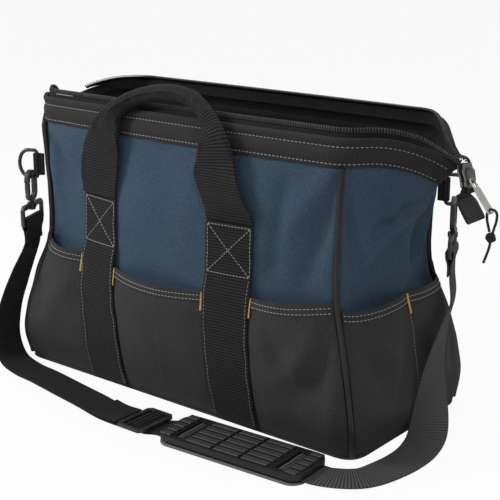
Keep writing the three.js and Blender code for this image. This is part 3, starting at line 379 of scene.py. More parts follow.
class Finish(Tree):
    """A material for one kind of surface."""

    def __init__(self, name):
        self.material = bpy.data.materials.new(name)
        self.material.use_nodes = True
        super().__init__(self.material.node_tree)
        self.shader = self.tree.nodes["Principled BSDF"]

    def set(self, **values):
        for key, value in values.items():
            self.feed(self.shader.inputs[key.replace("_", " ")], value)
        return self

    def wave(self, coordinate, pitch):
        """A soft ridge from 0 to 1 every pitch of millimetres."""
        turns = coordinate * (2 * math.pi / (pitch * MM))
        return self.node("ShaderNodeMath", {"operation": "SINE"}, turns) * 0.5 + 0.5

    def where(self):
        return self.node("ShaderNodeTexCoord", {}, out="Object")

    def mottle(self, scale, detail):
        return self.node(
            "ShaderNodeTexNoise", {}, self.where(), Scale=scale, Detail=detail, out="Fac"
        )

    def blend(self, share, low, high):
        skipped = [None] * 5
        return self.node("ShaderNodeMix", {"data_type": "RGBA"}, share, *skipped, low, high, out=2)

    def coloured(self, share, colour, low, high, rough):
        """From a darker share of the colour to a lighter one, with a roughness."""
        base = self.blend(share, tone(*colour, low), tone(*colour, high))
        return self.set(Base_Color=base, Roughness=rough)

    def relief(self, height, depth):
        return self.set(Normal=self.node("ShaderNodeBump", {}, Height=height, Distance=depth * MM))

    def uv(self):
        return self.split(self.node("ShaderNodeUVMap", {"uv_map": "UVMap"}))

    def split(self, where):
        parts = self.tree.nodes.new("ShaderNodeSeparateXYZ")
        self.feed(parts.inputs[0], where)
        return [Signal(self, parts.outputs[k]) for k in range(3)]


def tone(red, green, blue, share=1.0):
    """A screen colour from 0 to 255, as linear light."""
    parts = []
    for part in (red, green, blue):
        c = min(1.0, part * share / 255)
        parts.append(c / 12.92 if c <= 0.04045 else ((c + 0.055) / 1.055) ** 2.4)
    return (*parts, 1.0)

# %% [markdown]
# ## Cloth, webbing and thread
# The shell is coated polyester, woven fine, matt, and a little lighter where it catches the light.
# Webbing is coarser and has ribs across it, with painted shade in the grooves between the ribs.
# Both read the UV map in metres, so the weave is about 0.9 mm and the ribs 2 to 3 mm everywhere.
# Slow noise changes the colour a little, as dye and dust do. The thread is lighter than the cloth,
# so each row of stitches reads as a line of dashes.

# %% Cloth finishes
def spread(signal, gain):
    """More contrast about the middle."""
    return (signal - 0.5) * gain + 0.5


def woven(name, colour, pitch=0.9, change=0.3, rough=0.82):
    finish = Finish(name)
    along, up, _ = finish.uv()
    warp = finish.wave(along, pitch)
    weft = finish.wave(up, pitch)
    weave = warp * (1 - weft) + weft * (1 - warp)
    cloud = finish.mottle(9, 4)
    slub = spread(finish.mottle(800, 3), 2.6)
    share = cloud * 0.35 + slub * 0.5 + weave * 0.15
    finish.coloured(share, colour, 1 - change, 1 + change, rough - 0.1 * cloud)
    finish.set(Sheen_Weight=0.03, Sheen_Roughness=0.5, Specular_IOR_Level=0.14)
    return finish.relief(weave + slub * 0.9, 0.14)


def ribbed(name, colour, pitch=2.9, along_first=True, low=0.2, high=1.75, relief=0.8):
    finish = Finish(name)
    along, up, _ = finish.uv()
    length, width = (along, up) if along_first else (up, along)
    drift = finish.mottle(35, 2)
    ribs_with_groove_shade = finish.wave(length + drift * 0.002, pitch) ** 0.6
    ticks = finish.wave(width, 1.4)
    fluff = finish.mottle(420, 3)
    # Painted shade: besides raising the ribs, the rib wave colours the grooves dark and the crests
    # light.
    share = ribs_with_groove_shade * 0.7 + ticks * 0.05 + fluff * 0.3 - 0.05
    finish.coloured(share, colour, low, high, 0.7 + 0.1 * fluff)
    finish.set(Sheen_Weight=0.03, Sheen_Roughness=0.45, Specular_IOR_Level=0.14)
    return finish.relief(ribs_with_groove_shade + ticks * 0.2, relief)


def strap_webbing(name, colour):
    """Ribbed, with painted shade in the grooves, where it lies on the floor. Its smoother side
    shows where it stands up.
    """
    finish = Finish(name)
    width, length, _ = finish.uv()
    height = finish.split(finish.where())[2]
    standing = finish.node("ShaderNodeMapRange", {}, height, 0.006, 0.03, 0.0, 1.0)
    ribs_with_groove_shade = finish.wave(length, 2.6) ** 0.6
    twill = finish.wave(width + length * 0.7, 2.0)
    fluff = finish.mottle(500, 3)
    # Painted shade: where the strap lies, the rib grooves are coloured dark and the crests light.
    share = (ribs_with_groove_shade * (1 - standing) + (0.55 + 0.25 * twill) * standing) * 0.75 + fluff * 0.25
    finish.coloured(share, colour, 0.25, 2.1, 0.7 + 0.1 * fluff)
    finish.set(Specular_IOR_Level=0.16)
    return finish.relief(ribs_with_groove_shade * (1 - standing) + twill * standing * 0.3, 0.5)


def thread(name, colour):
    finish = Finish(name)
    fluff = finish.mottle(900, 2)
    finish.coloured(fluff, colour, 0.8, 1.12, 0.6).set(Sheen_Weight=0.2)
    return finish.relief(fluff, 0.08)


blue_cloth = woven("blue_polyester", (61, 79, 95))
dark_cloth = woven("charcoal_polyester", (57, 57, 57))
collar_cloth = ribbed("collar_tape", (46, 46, 45), pitch=2.4, low=0.55, high=1.35, relief=0.25)
right_webbing = strap_webbing("strap_webbing", (47, 47, 47))
lining = woven("black_lining", (26, 27, 29), rough=0.7)
webbing_along_up = ribbed("black_webbing_upright", (31, 31, 31), along_first=False)
fine_webbing = ribbed("fine_webbing", (50, 50, 50), pitch=2.1, along_first=False, relief=0.4)
grey_thread = thread("grey_thread", (158, 158, 156))
dark_thread = thread("charcoal_thread", (138, 138, 137))
orange_thread = thread("orange_thread", (248, 178, 72))
print("finishes", len(bpy.data.materials))

# %% [markdown]
# ## The pull cord
# A thin braided cord loops through the eye of the zip puller, and both ends go into a small round
# knot that leaves a short tail. It hangs straight down from the eye. A limp cord is a line first:
# its points are chosen, and a tube is laid along them.

# %% Cord
CORD = 2.5
KNOT = vec(301.7, 0, 209.0)
KNOT_RADIUS = 5
CORD_SHAPE = [
    (299.95, 214.3), (298.95, 218.3), (297.2, 224.3), (296.7, 230.3), (297.1, 232.1),
    (298.2, 233.8), (299.9, 234.9), (301.75, 235.25), (303.6, 234.9), (305.3, 233.8),
    (306.4, 232.1), (306.7, 230.3), (306.2, 224.3), (304.45, 218.3), (303.45, 214.3),
    (302.1, 209.0), (301.3, 203.6), (300.3, 198.6), (298.1, 191.6), (295.7, 184.6),
]
cord_line = even_line([vec(x, 0, z) for x, z in CORD_SHAPE], 2.2)


def braided(name, colour, pitch):
    finish = Finish(name)
    around, along, _ = finish.uv()
    one = finish.wave(along + around * 0.6, pitch)
    other = finish.wave(along - around * 0.6, pitch)
    plait = one * other
    return finish.coloured(plait, colour, 0.6, 1.5, 0.75).relief(plait, 0.35)


braid = braided("black_cord", (40, 40, 40), 2.4)


def settle(piece, finishes, body, nodes=(), angle=40):
    """Gives a piece its finishes, applies its modifiers, and lets it ride on a body."""
    for finish in finishes:
        piece.data.materials.append(finish.material)
    apply_all(piece)
    shade(piece, angle)
    if nodes:
        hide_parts(*nodes)
    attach(piece, body)
    return piece


pull_cord = swept("pull_cord_braid", tube_rings(cord_line, CORD / 2, 10, vec(0, 1, 0)))
settle(pull_cord, [braid], "zip_puller", ["pull_cord", "pull_cord_tail"])
print("cord length", round(line_length(cord_line), 1), "mm")

# %% [markdown]
# ## The knot
# The knot is a few tight turns of the same cord, so it is a ball with spiral grooves. A real knot
# could be wound from a line, but at 10 mm across the grooves are all that shows.

# %% Knot
deselect()
bpy.ops.mesh.primitive_uv_sphere_add(
    segments=40, ring_count=24, radius=KNOT_RADIUS * MM, location=KNOT * MM,
)
cord_knot = bpy.context.active_object
cord_knot.name = "pull_cord_knot_wound"
bpy.ops.object.transform_apply(location=True, rotation=True, scale=True)
for vertex in cord_knot.data.vertices:
    out = vertex.co - KNOT * MM
    turn = math.atan2(out.z, out.x)
    groove = math.cos(3 * turn + out.y * 900)
    vertex.co = KNOT * MM + out * (0.93 + 0.07 * groove)
settle(cord_knot, [braid], "zip_puller", ["pull_cord_knot"], 60)
length = round(line_length(cord_line) * MM, 4)
[p * MM for p in cord_line]
print("knot", cord_knot.dimensions[:])

# %% [markdown]
# ## The shape of the body
# A bag is one lofted shell. Its outline is drawn at seven heights: how long and deep it is there,
# how far the ends reach, how much the long sides bow and how far the ends droop. A place on the
# shell is then a turn once round, from 0 at the middle of the front to 4, and a height. The walls,
# collar, pockets, piping and strips all use that one function, so they sit on each other. In the
# table, a and b move the corner along and across, and m moves the middle of the end.

# %% Body outline
BASE_LENGTH = 446
BASE_DEPTH = 190
BASE_THICK = 4
SEAM = 272
RIM = 298
HEM = 146
CORNER_ROUND = 20
LAYER = 0.9
FRONT_SHARE = 0.6
CORNER_SHARE = 0.74
CORNER_AT = 0.67
LEVEL_NAMES = ("z", "a", "b", "m", "bow", "drop")
LEVELS = [dict(zip(LEVEL_NAMES, level)) for level in (
    (0, 0, 0, 0, 0, 0),
    (0.13 * RIM, 1, 5, 6, 5, 0),
    (0.34 * RIM, -13, -1, -1, 15, 0),
    (HEM, -28, -10, -11, 20, 0),
    (0.67 * RIM, -29, -11, -5, 18, 0),
    (SEAM, -27, -11, 23, 6, 22),
    (RIM, -26, -15, 43, 2, 28),
)]


def at_height(height, key):
    k = 0
    while k < len(LEVELS) - 2 and height > LEVELS[k + 1]["z"]:
        k += 1
    low, high = LEVELS[k], LEVELS[k + 1]

    def slope(n):
        below, above = LEVELS[max(n - 1, 0)], LEVELS[min(n + 1, len(LEVELS) - 1)]
        return (above[key] - below[key]) / (above["z"] - below["z"])

    span = high["z"] - low["z"]
    t = (height - low["z"]) / span
    rise = (2 * t ** 3 - 3 * t * t + 1) * low[key] + (t ** 3 - 2 * t * t + t) * span * slope(k)
    return rise + (3 * t * t - 2 * t ** 3) * high[key] + (t ** 3 - t * t) * span * slope(k + 1)


def quarter(s, height):
    """A quarter of the outline, from the middle of a long side to the middle of an end."""
    corner = Vector(
        (BASE_LENGTH / 2 + at_height(height, "a"), BASE_DEPTH / 2 + at_height(height, "b"))
    )
    middle = Vector((BASE_LENGTH / 2 + at_height(height, "m"), 0))
    start = corner - Vector((CORNER_ROUND, 0))
    stop = corner + (middle - corner).normalized() * CORNER_ROUND
    if s <= FRONT_SHARE:
        swell = math.cos(0.5 * math.pi * s / FRONT_SHARE)
        return Vector((start.x * s / FRONT_SHARE, corner.y + at_height(height, "bow") * swell))
    if s <= CORNER_SHARE:
        t = (s - FRONT_SHARE) / (CORNER_SHARE - FRONT_SHARE)
        return start * (1 - t) ** 2 + corner * 2 * t * (1 - t) + stop * t * t
    return stop.lerp(middle, (s - CORNER_SHARE) / (1 - CORNER_SHARE))


def outline(turn, height):
    turn %= 4
    s = turn if turn <= 1 else 2 - turn if turn <= 2 else turn - 2 if turn <= 3 else 4 - turn
    p = quarter(s, height)
    share = max(0.0, (s - CORNER_SHARE) / (1 - CORNER_SHARE))
    x = p.x if turn <= 2 else -p.x
    y = -p.y if turn <= 1 or turn > 3 else p.y
    return x, y, at_height(height, "drop") * share * share


def shell(turn, height, offset=0.0):
    x, y, drop = outline(turn, height)
    x0, y0, _ = outline(turn - 0.004, height)
    x1, y1, _ = outline(turn + 0.004, height)
    face = Vector((y1 - y0, x0 - x1)).normalized()
    return vec(x + face.x * offset, y + face.y * offset, height - drop)


print("rim tip at", tuple(round(v, 1) for v in shell(1, RIM)))

# %% [markdown]
# ## How the cloth sags
# Soft cloth between stiff seams is never flat. Above the pockets it is drawn up to the pinched
# ends of the mouth, so folds fan out from there across each end and round the corners. The long
# sides have slow hollows, and the seam below the collar puckers a little. A cloth simulation of
# the whole bag would give folds of its own in its own places; written as a sum of folds they stay
# where the photograph has them, and every layer can share them, so nothing pokes through.

# %% Sag
UNROLLED = 350


def fold_at(turn, height, start, stop, width, size):
    """A soft ridge along a line on the cloth laid flat. A negative size is a valley."""
    x, y = (turn - start[0]) * UNROLLED, height - start[1]
    a, b = (stop[0] - start[0]) * UNROLLED, stop[1] - start[1]
    along = min(1.0, max(0.0, (x * a + y * b) / (a * a + b * b)))
    gap = math.hypot(x - a * along, y - b * along)
    return size * math.exp(-(gap / width) ** 2) * (0.55 + 0.45 * math.sin(math.pi * along))


END_FOLDS = [
    ((1.08, 262), (0.78, 176), 11, 9.5), ((1.02, 248), (0.84, 206), 8, -9.0),
    ((0.78, 266), (0.92, 220), 9, 8.0), ((0.69, 236), (0.77, 166), 9, -7.0),
    ((1.16, 256), (1.10, 170), 12, -6.5), ((1.24, 262), (1.20, 176), 13, 6.0),
    ((0.98, 200), (1.02, 156), 14, 4.0), ((1.31, 236), (1.26, 166), 10, -4.5),
]
SIDE_FOLDS = [
    ((-0.66, 262), (-0.50, 214), 10, -5.4), ((-0.62, 266), (-0.42, 236), 11, 4.4),
    ((-0.64, 236), (-0.57, 170), 11, 4.0), ((0.62, 264), (0.46, 196), 14, 4.5),
    ((0.65, 246), (0.55, 160), 12, -5.4), ((0.47, 252), (0.43, 156), 11, -4.4),
    ((0.16, 262), (0.05, 176), 20, 1.8), ((-0.06, 262), (0.06, 160), 22, -1.6),
]


def folds_of(turn, height):
    """The folds of the cloth above the pockets. Opposite walls share them."""
    from_side = turn - 2 * round(turn / 2)
    on_side = abs(from_side) < CORNER_AT
    folds, at = (SIDE_FOLDS, from_side) if on_side else (END_FOLDS, turn % 2)
    clear = smooth(0, 0.035, abs(abs(from_side) - CORNER_AT))
    return clear * sum(fold_at(at, height, *one) for one in folds)


def sag(turn, height):
    """How far the cloth stands out from the plain loft, in millimetres."""
    turn = turn % 4
    up = smooth(HEM - 8, HEM + 24, height) * (1 - smooth(SEAM - 9, SEAM + 1, height))
    low = 1 - smooth(HEM - 10, HEM + 8, height)
    hollow = noise.noise(Vector((turn * 3.1, height * 0.017, 4.2)))
    small = noise.noise(Vector((turn * 9.0, height * 0.04, 9.1)))
    out = up * folds_of(turn, height)
    out += smooth(4, 26, height) * (up + low) * (1.8 * hollow + 0.8 * small)
    pucker = math.exp(-abs(height - SEAM) / 7) * (1 if height < SEAM else 0)
    return out + pucker * 0.5 * math.sin(turn * 260 + 3 * hollow)


def draped(turn, height, offset=0.0):
    return shell(turn, height, offset + sag(turn, height))


def spread_stops(low, high, count):
    return [mix(low, high, k / count) for k in range(count + 1)]


def wall_rows(centre, half, low, high, columns, rows):
    turns = spread_stops(centre - half, centre + half, columns)
    return [[draped(t, h) for t in turns] for h in spread_stops(low, high, rows)]

# %% [markdown]
# ## Walls
# Four panels of blue cloth meet at the corner piping. Each is a fine grid on the draped shell,
# three millimetres thick with its padding, and lined in black. They could be one piece, but four
# panels keep the seams where the real ones are and let the weave start afresh on each.

# %% Walls
WALL_THICK = 3
FACES = (("front", 0), ("back", 2))
ENDS = (("right", 1), ("left", 3))
HANDS = (("left", -1), ("right", 1))
WALLS = {"front_wall": 0, "back_wall": 2, "right_end_wall": 1, "left_end_wall": 3}
wall_skins = {}
for node, centre in WALLS.items():
    long_side = centre % 2 == 0
    half = CORNER_AT - 0.001 if long_side else 1 - CORNER_AT - 0.001
    rows = wall_rows(centre, half, BASE_THICK + GAP, SEAM, 150 if long_side else 90, 84)
    skin = cloth(node + "_cloth", rows, WALL_THICK, inside=1)
    wall_skins[node] = settle(skin, [blue_cloth, lining], "bag", [node], 60)
print("walls", [len(s.data.polygons) for s in wall_skins.values()])

# %% [markdown]
# ## Collar
# A black band folds over the top edge and is sewn down with two rows of pale thread. Its two
# halves meet at the pinched ends, where the band runs down to a point. It is drawn slightly
# padded: full between the two rows of stitches and drawn in along them.

# %% Collar
COLLAR_ROWS = (SEAM + 2.8, RIM - 8)
COLLAR_THICK = 4.2


def collar_puff(height):
    near = min(abs(height - row) for row in COLLAR_ROWS)
    edge = min(height - SEAM, RIM - height)
    return 1.5 * smooth(0, 5, near) * smooth(-1, 2.5, edge) + 0.3


def collar_place(turn, height):
    ripple = 0.5 * noise.noise(Vector((turn * 14, height * 0.06, 1.7)))
    return draped(turn, height, 0.7 + collar_puff(height) + ripple)


for face, centre in FACES:
    turns = spread_stops(centre - 0.999, centre + 0.999, 220)
    rows = [[collar_place(t, h) for t in turns] for h in spread_stops(SEAM - 0.5, RIM + 0.6, 16)]
    band = cloth(f"{face}_collar_band", rows, COLLAR_THICK, inside=1)
    rounded_edge(band, 1.2)
    settle(band, [collar_cloth, lining], "bag", [f"{face}_collar"], 60)
print("collar puff", [round(collar_puff(h), 2) for h in range(SEAM, RIM, 4)])

# %% [markdown]
# ## Stitches
# Thread shows as short raised dashes with dark gaps between them. Real stitches are modelled here,
# one small six-sided bead copied along each row, because at this size they catch the light as
# thread does. A painted dashed line would be lighter to make but stays flat.

# %% Stitches
STITCH = [(-0.5, 0.35), (-0.32, 1.0), (0.32, 1.0), (0.5, 0.35)]
STITCH_SIDES = 6
SEWN = 0.985


def stitch_points(middle, along, out, length, radius):
    across = along.cross(out).normalized()
    points = []
    for share, size in STITCH:
        for k in range(STITCH_SIDES):
            turn = 2 * math.pi * k / STITCH_SIDES
            spot = middle + along * (share * length) + across * (math.cos(turn) * radius * size)
            points.append(spot + out * (math.sin(turn) * radius * size * 0.8))
    return points


def stitched(name, rows, finish, length, pitch, radius):
    """Rows of stitches. A row is a list of (place, way out of the cloth)."""
    points, faces = [], []
    for row in rows:
        places = [p for p, _ in row]
        total = line_length(places)
        count = max(1, round(total / pitch))
        walked, k = 0.0, 0
        for n in range(count):
            want = total * (n + 0.5) / count
            while k < len(places) - 2 and walked + (places[k + 1] - places[k]).length < want:
                walked += (places[k + 1] - places[k]).length
                k += 1
            step = places[k + 1] - places[k]
            middle = places[k] + step * ((want - walked) / step.length)
            first = len(points)
            size = length * total / (count * pitch)
            points += stitch_points(middle, step.normalized(), row[k][1], size, radius)
            faces += stack_faces(first, STITCH_SIDES, len(STITCH))
    piece = new_object(name, points, faces)
    return settle(outward(piece), [finish], "bag", angle=60)


def way_out(place, turn, height, step):
    """The way out of a surface at a place on it."""
    side = place(turn + 0.002, height) - place(turn - 0.002, height)
    up = place(turn, height + step) - place(turn, height - step)
    return side.cross(up).normalized()


def surface_row(place, turns, height, lift=0.25, step=1.0):
    """Places and outward ways along a surface at one height."""
    row = []
    for turn in turns:
        out = way_out(place, turn, height, step)
        row.append((place(turn, height) + out * lift, out))
    return row


for face, centre in FACES:
    turns = spread_stops(centre - SEWN, centre + SEWN, 240)
    rows = [surface_row(collar_place, turns, height) for height in COLLAR_ROWS]
    stitched(f"{face}_collar_stitches", rows, grey_thread, length=2.8, pitch=4.4, radius=0.4)
print("stitch rows on the collar at", COLLAR_ROWS)

# %% [markdown]
# ## Pockets
# A second layer of dark cloth goes round the lower half and is sewn down at the corners, at the
# webbing strips and at a divider on each end, so between those seams its hem stands off the wall
# and opens. The hem is folded and has two rows of stitches. Full tools have pressed soft bulges
# into the cloth.

# %% Pockets
LEG_X = 88
STRIP = 53
LEG_LEAN = 9
POCKET_CLOTH = 1.6
STAND = 12
HEM_SAG = 12
STRIP_IN = LEG_X - STRIP / 2 - 1
STRIP_OUT = LEG_X + STRIP / 2 + 1
POCKET_EDGE = CORNER_AT - 0.012
END_EDGE = 1 - CORNER_AT - 0.012
HEM_SPAN = shell(POCKET_EDGE, HEM).x
LOW = BASE_THICK + GAP


def lean_at(height, centre):
    """The front legs of the webbing lean towards the left end as they rise."""
    return -LEG_LEAN * smooth(0, HEM, height) if centre == 0 else 0.0


def share_of(x, height):
    """A distance x along a long side as a part of a turn."""
    return FRONT_SHARE * x / (BASE_LENGTH / 2 + at_height(height, "a") - CORNER_ROUND)


def pocket_turn(turn, height):
    """A column of a side pocket at another height: its seams stay under the strips."""
    centre = 2 * round(turn / 2)
    share = turn - centre
    hand = 1 if share >= 0 else -1
    top, here = lean_at(HEM, centre), lean_at(height, centre)
    outer_top = share_of(hand * STRIP_OUT + top, HEM)
    outer_here = share_of(hand * STRIP_OUT + here, height)
    if abs(share) >= FRONT_SHARE:
        return turn
    if abs(share) > abs(outer_top):
        beyond = (share - outer_top) / (hand * FRONT_SHARE - outer_top)
        return centre + outer_here + (hand * FRONT_SHARE - outer_here) * beyond
    x = share / share_of(1, HEM)
    return centre + share_of(x - top + here, height)


def hem_at(x):
    return HEM - HEM_SAG * math.cos(0.5 * math.pi * min(1.0, abs(x) / HEM_SPAN))


def side_swell(x, lean):
    far = abs(x - lean)
    beyond = HEM_SPAN - STRIP_OUT - math.copysign(lean, lean * x)
    if far < STRIP_IN:
        return max(0.0, math.cos(0.5 * math.pi * far / STRIP_IN))
    if far > STRIP_OUT:
        return max(0.0, math.sin(math.pi * min(1.0, (far - STRIP_OUT) / beyond)))
    return 0.0


SIDE_CREASES = [
    ((0.655, 132), (0.55, 62), 11, -7.0), ((0.60, 118), (0.47, 66), 13, 5.4),
    ((0.65, 74), (0.60, 30), 11, 4.6), ((0.44, 112), (0.51, 48), 10, -5.0),
    ((0.02, 116), (0.10, 40), 24, -1.6), ((-0.10, 110), (-0.06, 36), 22, 1.4),
    ((-0.655, 128), (-0.58, 66), 11, -5.5), ((-0.46, 116), (-0.56, 54), 13, 4.0),
]
END_CREASES = [
    ((0.69, 130), (0.81, 68), 12, -7.5), ((0.74, 130), (0.88, 88), 11, 5.8),
    ((0.69, 52), (0.84, 30), 12, 4.6), ((0.97, 122), (0.89, 44), 11, -5.0),
    ((1.04, 118), (1.10, 60), 13, 4.0), ((1.31, 128), (1.21, 64), 12, -6.0),
    ((1.24, 120), (1.14, 40), 12, 3.0),
]


def bulge(turn, share):
    """Creases in a pocket: none along its seams, most half way up."""
    on_side = abs(turn - 2 * round(turn / 2)) < CORNER_AT
    folds, at = (SIDE_CREASES, turn - 2 * round(turn / 2)) if on_side else (END_CREASES, turn % 2)
    deep = sum(fold_at(at, share * HEM, *one) for one in folds)
    wide = noise.noise(Vector((turn * 5.5 + share, share * 2.2, 3.3)))
    return (deep + 1.2 * wide + 3.6) * math.sin(math.pi * min(1.0, share * 1.01)) ** 0.6


def side_pocket_place(turn, share, extra=0.0):
    centre = 2 * round(turn / 2)
    x = shell(turn, HEM).x if centre == 0 else -shell(turn, HEM).x
    height = mix(LOW, hem_at(x), share)
    lean = lean_at(HEM, centre)
    swell = side_swell(x, lean)
    full = 0.35 + 0.65 * min(1, 2 * swell)
    stand = LAYER + STAND * swell * share ** 1.3 + bulge(turn, share) * full
    if STRIP_IN <= abs(x - lean) <= STRIP_OUT:
        stand = LAYER
    return draped(pocket_turn(turn, height), height, max(LAYER, stand) + POCKET_CLOTH + extra)


END_DROP = 7
HEM_FOLD = 0.925
HEM_ROWS = (0.935, 0.968)
HEM_EXTRA = 0.9
POCKET_SKIN = 1.8


def end_pocket_place(turn, share, extra=0.0):
    centre = 1 if turn < 2 else 3
    far = abs(turn - centre) / END_EDGE
    hang = 0.5 * HEM_SAG * math.cos(0.5 * math.pi * min(1, far))
    hem = HEM - hang - END_DROP * smooth(0.3, 1, far)
    height = mix(LOW, hem, share)
    swell = max(0.0, math.sin(math.pi * min(1, far)))
    stand = LAYER + GAP + STAND * swell * share ** 1.3 + bulge(turn, share) * (0.3 + 0.7 * swell)
    return draped(turn, height, max(LAYER + GAP, stand) + POCKET_CLOTH + extra)


def hem_thick(share):
    """The folded hem is one cloth thicker than the pocket below it."""
    return HEM_EXTRA * smooth(HEM_FOLD - 0.013, HEM_FOLD, share)


POCKETS = {
    "front_pockets": (0, POCKET_EDGE, side_pocket_place),
    "back_pockets": (2, POCKET_EDGE, side_pocket_place),
    "right_end_pockets": (1, END_EDGE, end_pocket_place),
    "left_end_pockets": (3, END_EDGE, end_pocket_place),
}
for node, (centre, edge, place) in POCKETS.items():
    columns = 190 if centre % 2 == 0 else 110
    turns = spread_stops(centre - edge, centre + edge, columns)
    shares = spread_stops(0, 0.9, 46) + spread_stops(0.905, 1, 14)
    rows = [[place(t, s, hem_thick(s)) for t in turns] for s in shares]
    skin = cloth(node + "_cloth", rows, POCKET_SKIN, inside=1)
    rounded_edge(skin, 0.7)
    settle(skin, [dark_cloth, lining], "bag", [node], 60)
print("pocket hem", round(hem_at(0)), "to", round(hem_at(HEM_SPAN)))

# %% [markdown]
# Two rows of dark thread run along each hem, and a short dense bar of orange thread, a bartack,
# locks the corners of each pocket where tools pull on it.

# %% Hem stitches and bartacks
def pocket_row(place, turns, share, lift):
    """A row along a pocket. Its height is a share of the pocket's own."""
    return surface_row(lambda turn, s: place(turn, s, 1.0), turns, share, lift, 0.01)


for node, (centre, edge, place) in POCKETS.items():
    turns = spread_stops(centre - edge * SEWN, centre + edge * SEWN, 200)
    rows = [pocket_row(place, turns, share, 0.15) for share in HEM_ROWS]
    stitched(node + "_hem_stitches", rows, grey_thread, length=2.6, pitch=3.8, radius=0.42)


BARTACK_LOW, BARTACK_HIGH = 0.86, 0.99
BARTACK_AT = (-STRIP_OUT - 0.6, 0.6 - STRIP_IN, STRIP_IN - 0.6, STRIP_OUT + 0.6)


def bartack(name, place, turn):
    """A column of tight stitches lying across the seam."""
    turns = [turn - 0.0042, turn, turn + 0.0042]
    shares = spread_stops(BARTACK_LOW, BARTACK_HIGH, 15)
    rows = [pocket_row(place, turns, share, 0.9) for share in shares]
    return stitched(name, rows, orange_thread, length=3.4, pitch=4, radius=0.55)


for name, centre in FACES:
    lean = lean_at(HEM, centre)
    for k, x in enumerate(BARTACK_AT):
        turn = centre + share_of(x + lean, HEM)
        bartack(f"{name}_bartack_{k + 1}", side_pocket_place, turn)
for name, centre in ENDS:
    bartack(f"{name}_end_bartack", end_pocket_place, centre)
print("bartacks at x", STRIP_IN, STRIP_OUT)

# %% [markdown]
# The end pockets are divided by a stitched seam down their middle.

# %% Dividers
for name, centre in ENDS:
    row = []
    for share in spread_stops(0.03, 0.86, 60):
        out = way_out(end_pocket_place, centre, share, 0.01)
        row.append((end_pocket_place(centre, share) + out * 0.2, out))
    stitched(f"{name}_end_divider_stitches", [row], dark_thread, length=2.6, pitch=3.6, radius=0.38)
print("dividers 2")

# %% [markdown]
# ## Piping
# A cord covered in black vinyl is caught in each vertical corner seam. It stiffens the corner and
# takes the knocks, so it is glossier than the cloth and scuffed.

# %% Piping
def vinyl(name, colour):
    finish = Finish(name)
    scuff = finish.mottle(70, 5)
    fine = finish.mottle(700, 2)
    finish.coloured(scuff, colour, 0.75, 1.6, 0.38 + 0.25 * scuff)
    return finish.relief(fine + scuff, 0.1)


black_vinyl = vinyl("black_vinyl", (22, 22, 22))
PIPING = 2.9
PIPING_SUNK = 0.3
CORNERS = {
    "piping_front_right": CORNER_AT, "piping_back_right": 2 - CORNER_AT,
    "piping_back_left": 2 + CORNER_AT, "piping_front_left": 4 - CORNER_AT,
}
for node, turn in CORNERS.items():
    line = [
        draped(turn, h, PIPING - PIPING_SUNK + LAYER * (h < HEM))
        for h in spread_stops(LOW, SEAM - GAP, 70)
    ]
    cord = swept(node + "_cord", tube_rings(line, PIPING, 14, vec(1, 0, 0)))
    settle(cord, [black_vinyl], "bag", [node], 60)
print("piping", len(CORNERS))

# %% [markdown]
# ## Sewn webbing strips
# Below each handle leg one strip of webbing is sewn to the bag from the base up to a boxed cross.
# It runs over the pocket, and just above the hem it comes down on to the wall. Its width stays
# the same all the way, so its edges are measured in millimetres across, not in turns.

# %% Strips
BOX_TOP = 206
BOX_LOW = 156
STRIP_STEP = 14
SEAM_IN = 2.6
OVER_POCKET = 2 * LAYER + POCKET_CLOTH + 2
ON_WALL = LAYER + 2


def hem_at_leg(centre, hand):
    """Where a strip leaves the pocket. The hand is 1 for the leg at the right end."""
    return hem_at(hand * LEG_X + lean_at(HEM, centre)) + 0.5 * HEM_SAG


def strip_place(centre, hand, across, height):
    """A place on a strip: across it from -0.5 to 0.5, and a height."""
    x = hand * LEG_X + lean_at(height, centre) + STRIP * across
    facing = 1 if centre == 0 else -1
    hem = hem_at_leg(centre, hand)
    on_wall = min(1.0, max(0.0, (height - hem) / STRIP_STEP))
    rest = 0.9 * math.exp(-((height - hem + 6) / 7) ** 2)
    wave = 0.3 * math.sin(height * 0.21 + across * 3)
    return draped(
        centre + share_of(x * facing, height), height,
        mix(OVER_POCKET, ON_WALL, on_wall) + rest + wave
    )


WEB_THICK = 1.9
LEGS = [(*face, *hand) for face in FACES for hand in HANDS]
for face, centre, side, hand in LEGS:
    order = 1 if centre == 0 else -1
    shares = [order * (k / 24 - 0.5) for k in range(25)]
    rows = [
        [strip_place(centre, hand, a, h) for a in shares] for h in spread_stops(LOW, BOX_TOP, 90)
    ]
    strip = cloth(f"{face}_strip_{side}_webbing", rows, WEB_THICK)
    rounded_edge(strip, 0.6)
    nodes = [f"{face}_{part}_strip_{side}" for part in ("lower", "upper")]
    settle(strip, [webbing_along_up], "bag", nodes, 60)
print("strips from", LOW, "to", BOX_TOP)

# %% [markdown]
# The handle's load goes into a sewn box with a cross inside it. Each line of it is a row of pale
# stitches over the webbing, and the long edges of every strip have a row too.

# %% Boxed cross stitches
def strip_row(centre, hand, start, stop, count=40):
    """Places and outward ways along a straight row on a strip."""
    facing = -1 if centre == 0 else 1
    row = []
    for k in range(count + 1):
        across, height = mix(start[0], stop[0], k / count), mix(start[1], stop[1], k / count)
        left, right, below, above = [
            strip_place(centre, hand, across + a, height + h)
            for a, h in ((-0.02, 0), (0.02, 0), (0, -1), (0, 1))
        ]
        out = (right - left).cross(above - below).normalized()
        out = out if out.y * facing > 0 else -out
        row.append((strip_place(centre, hand, across, height) + out * 0.3, out))
    return row


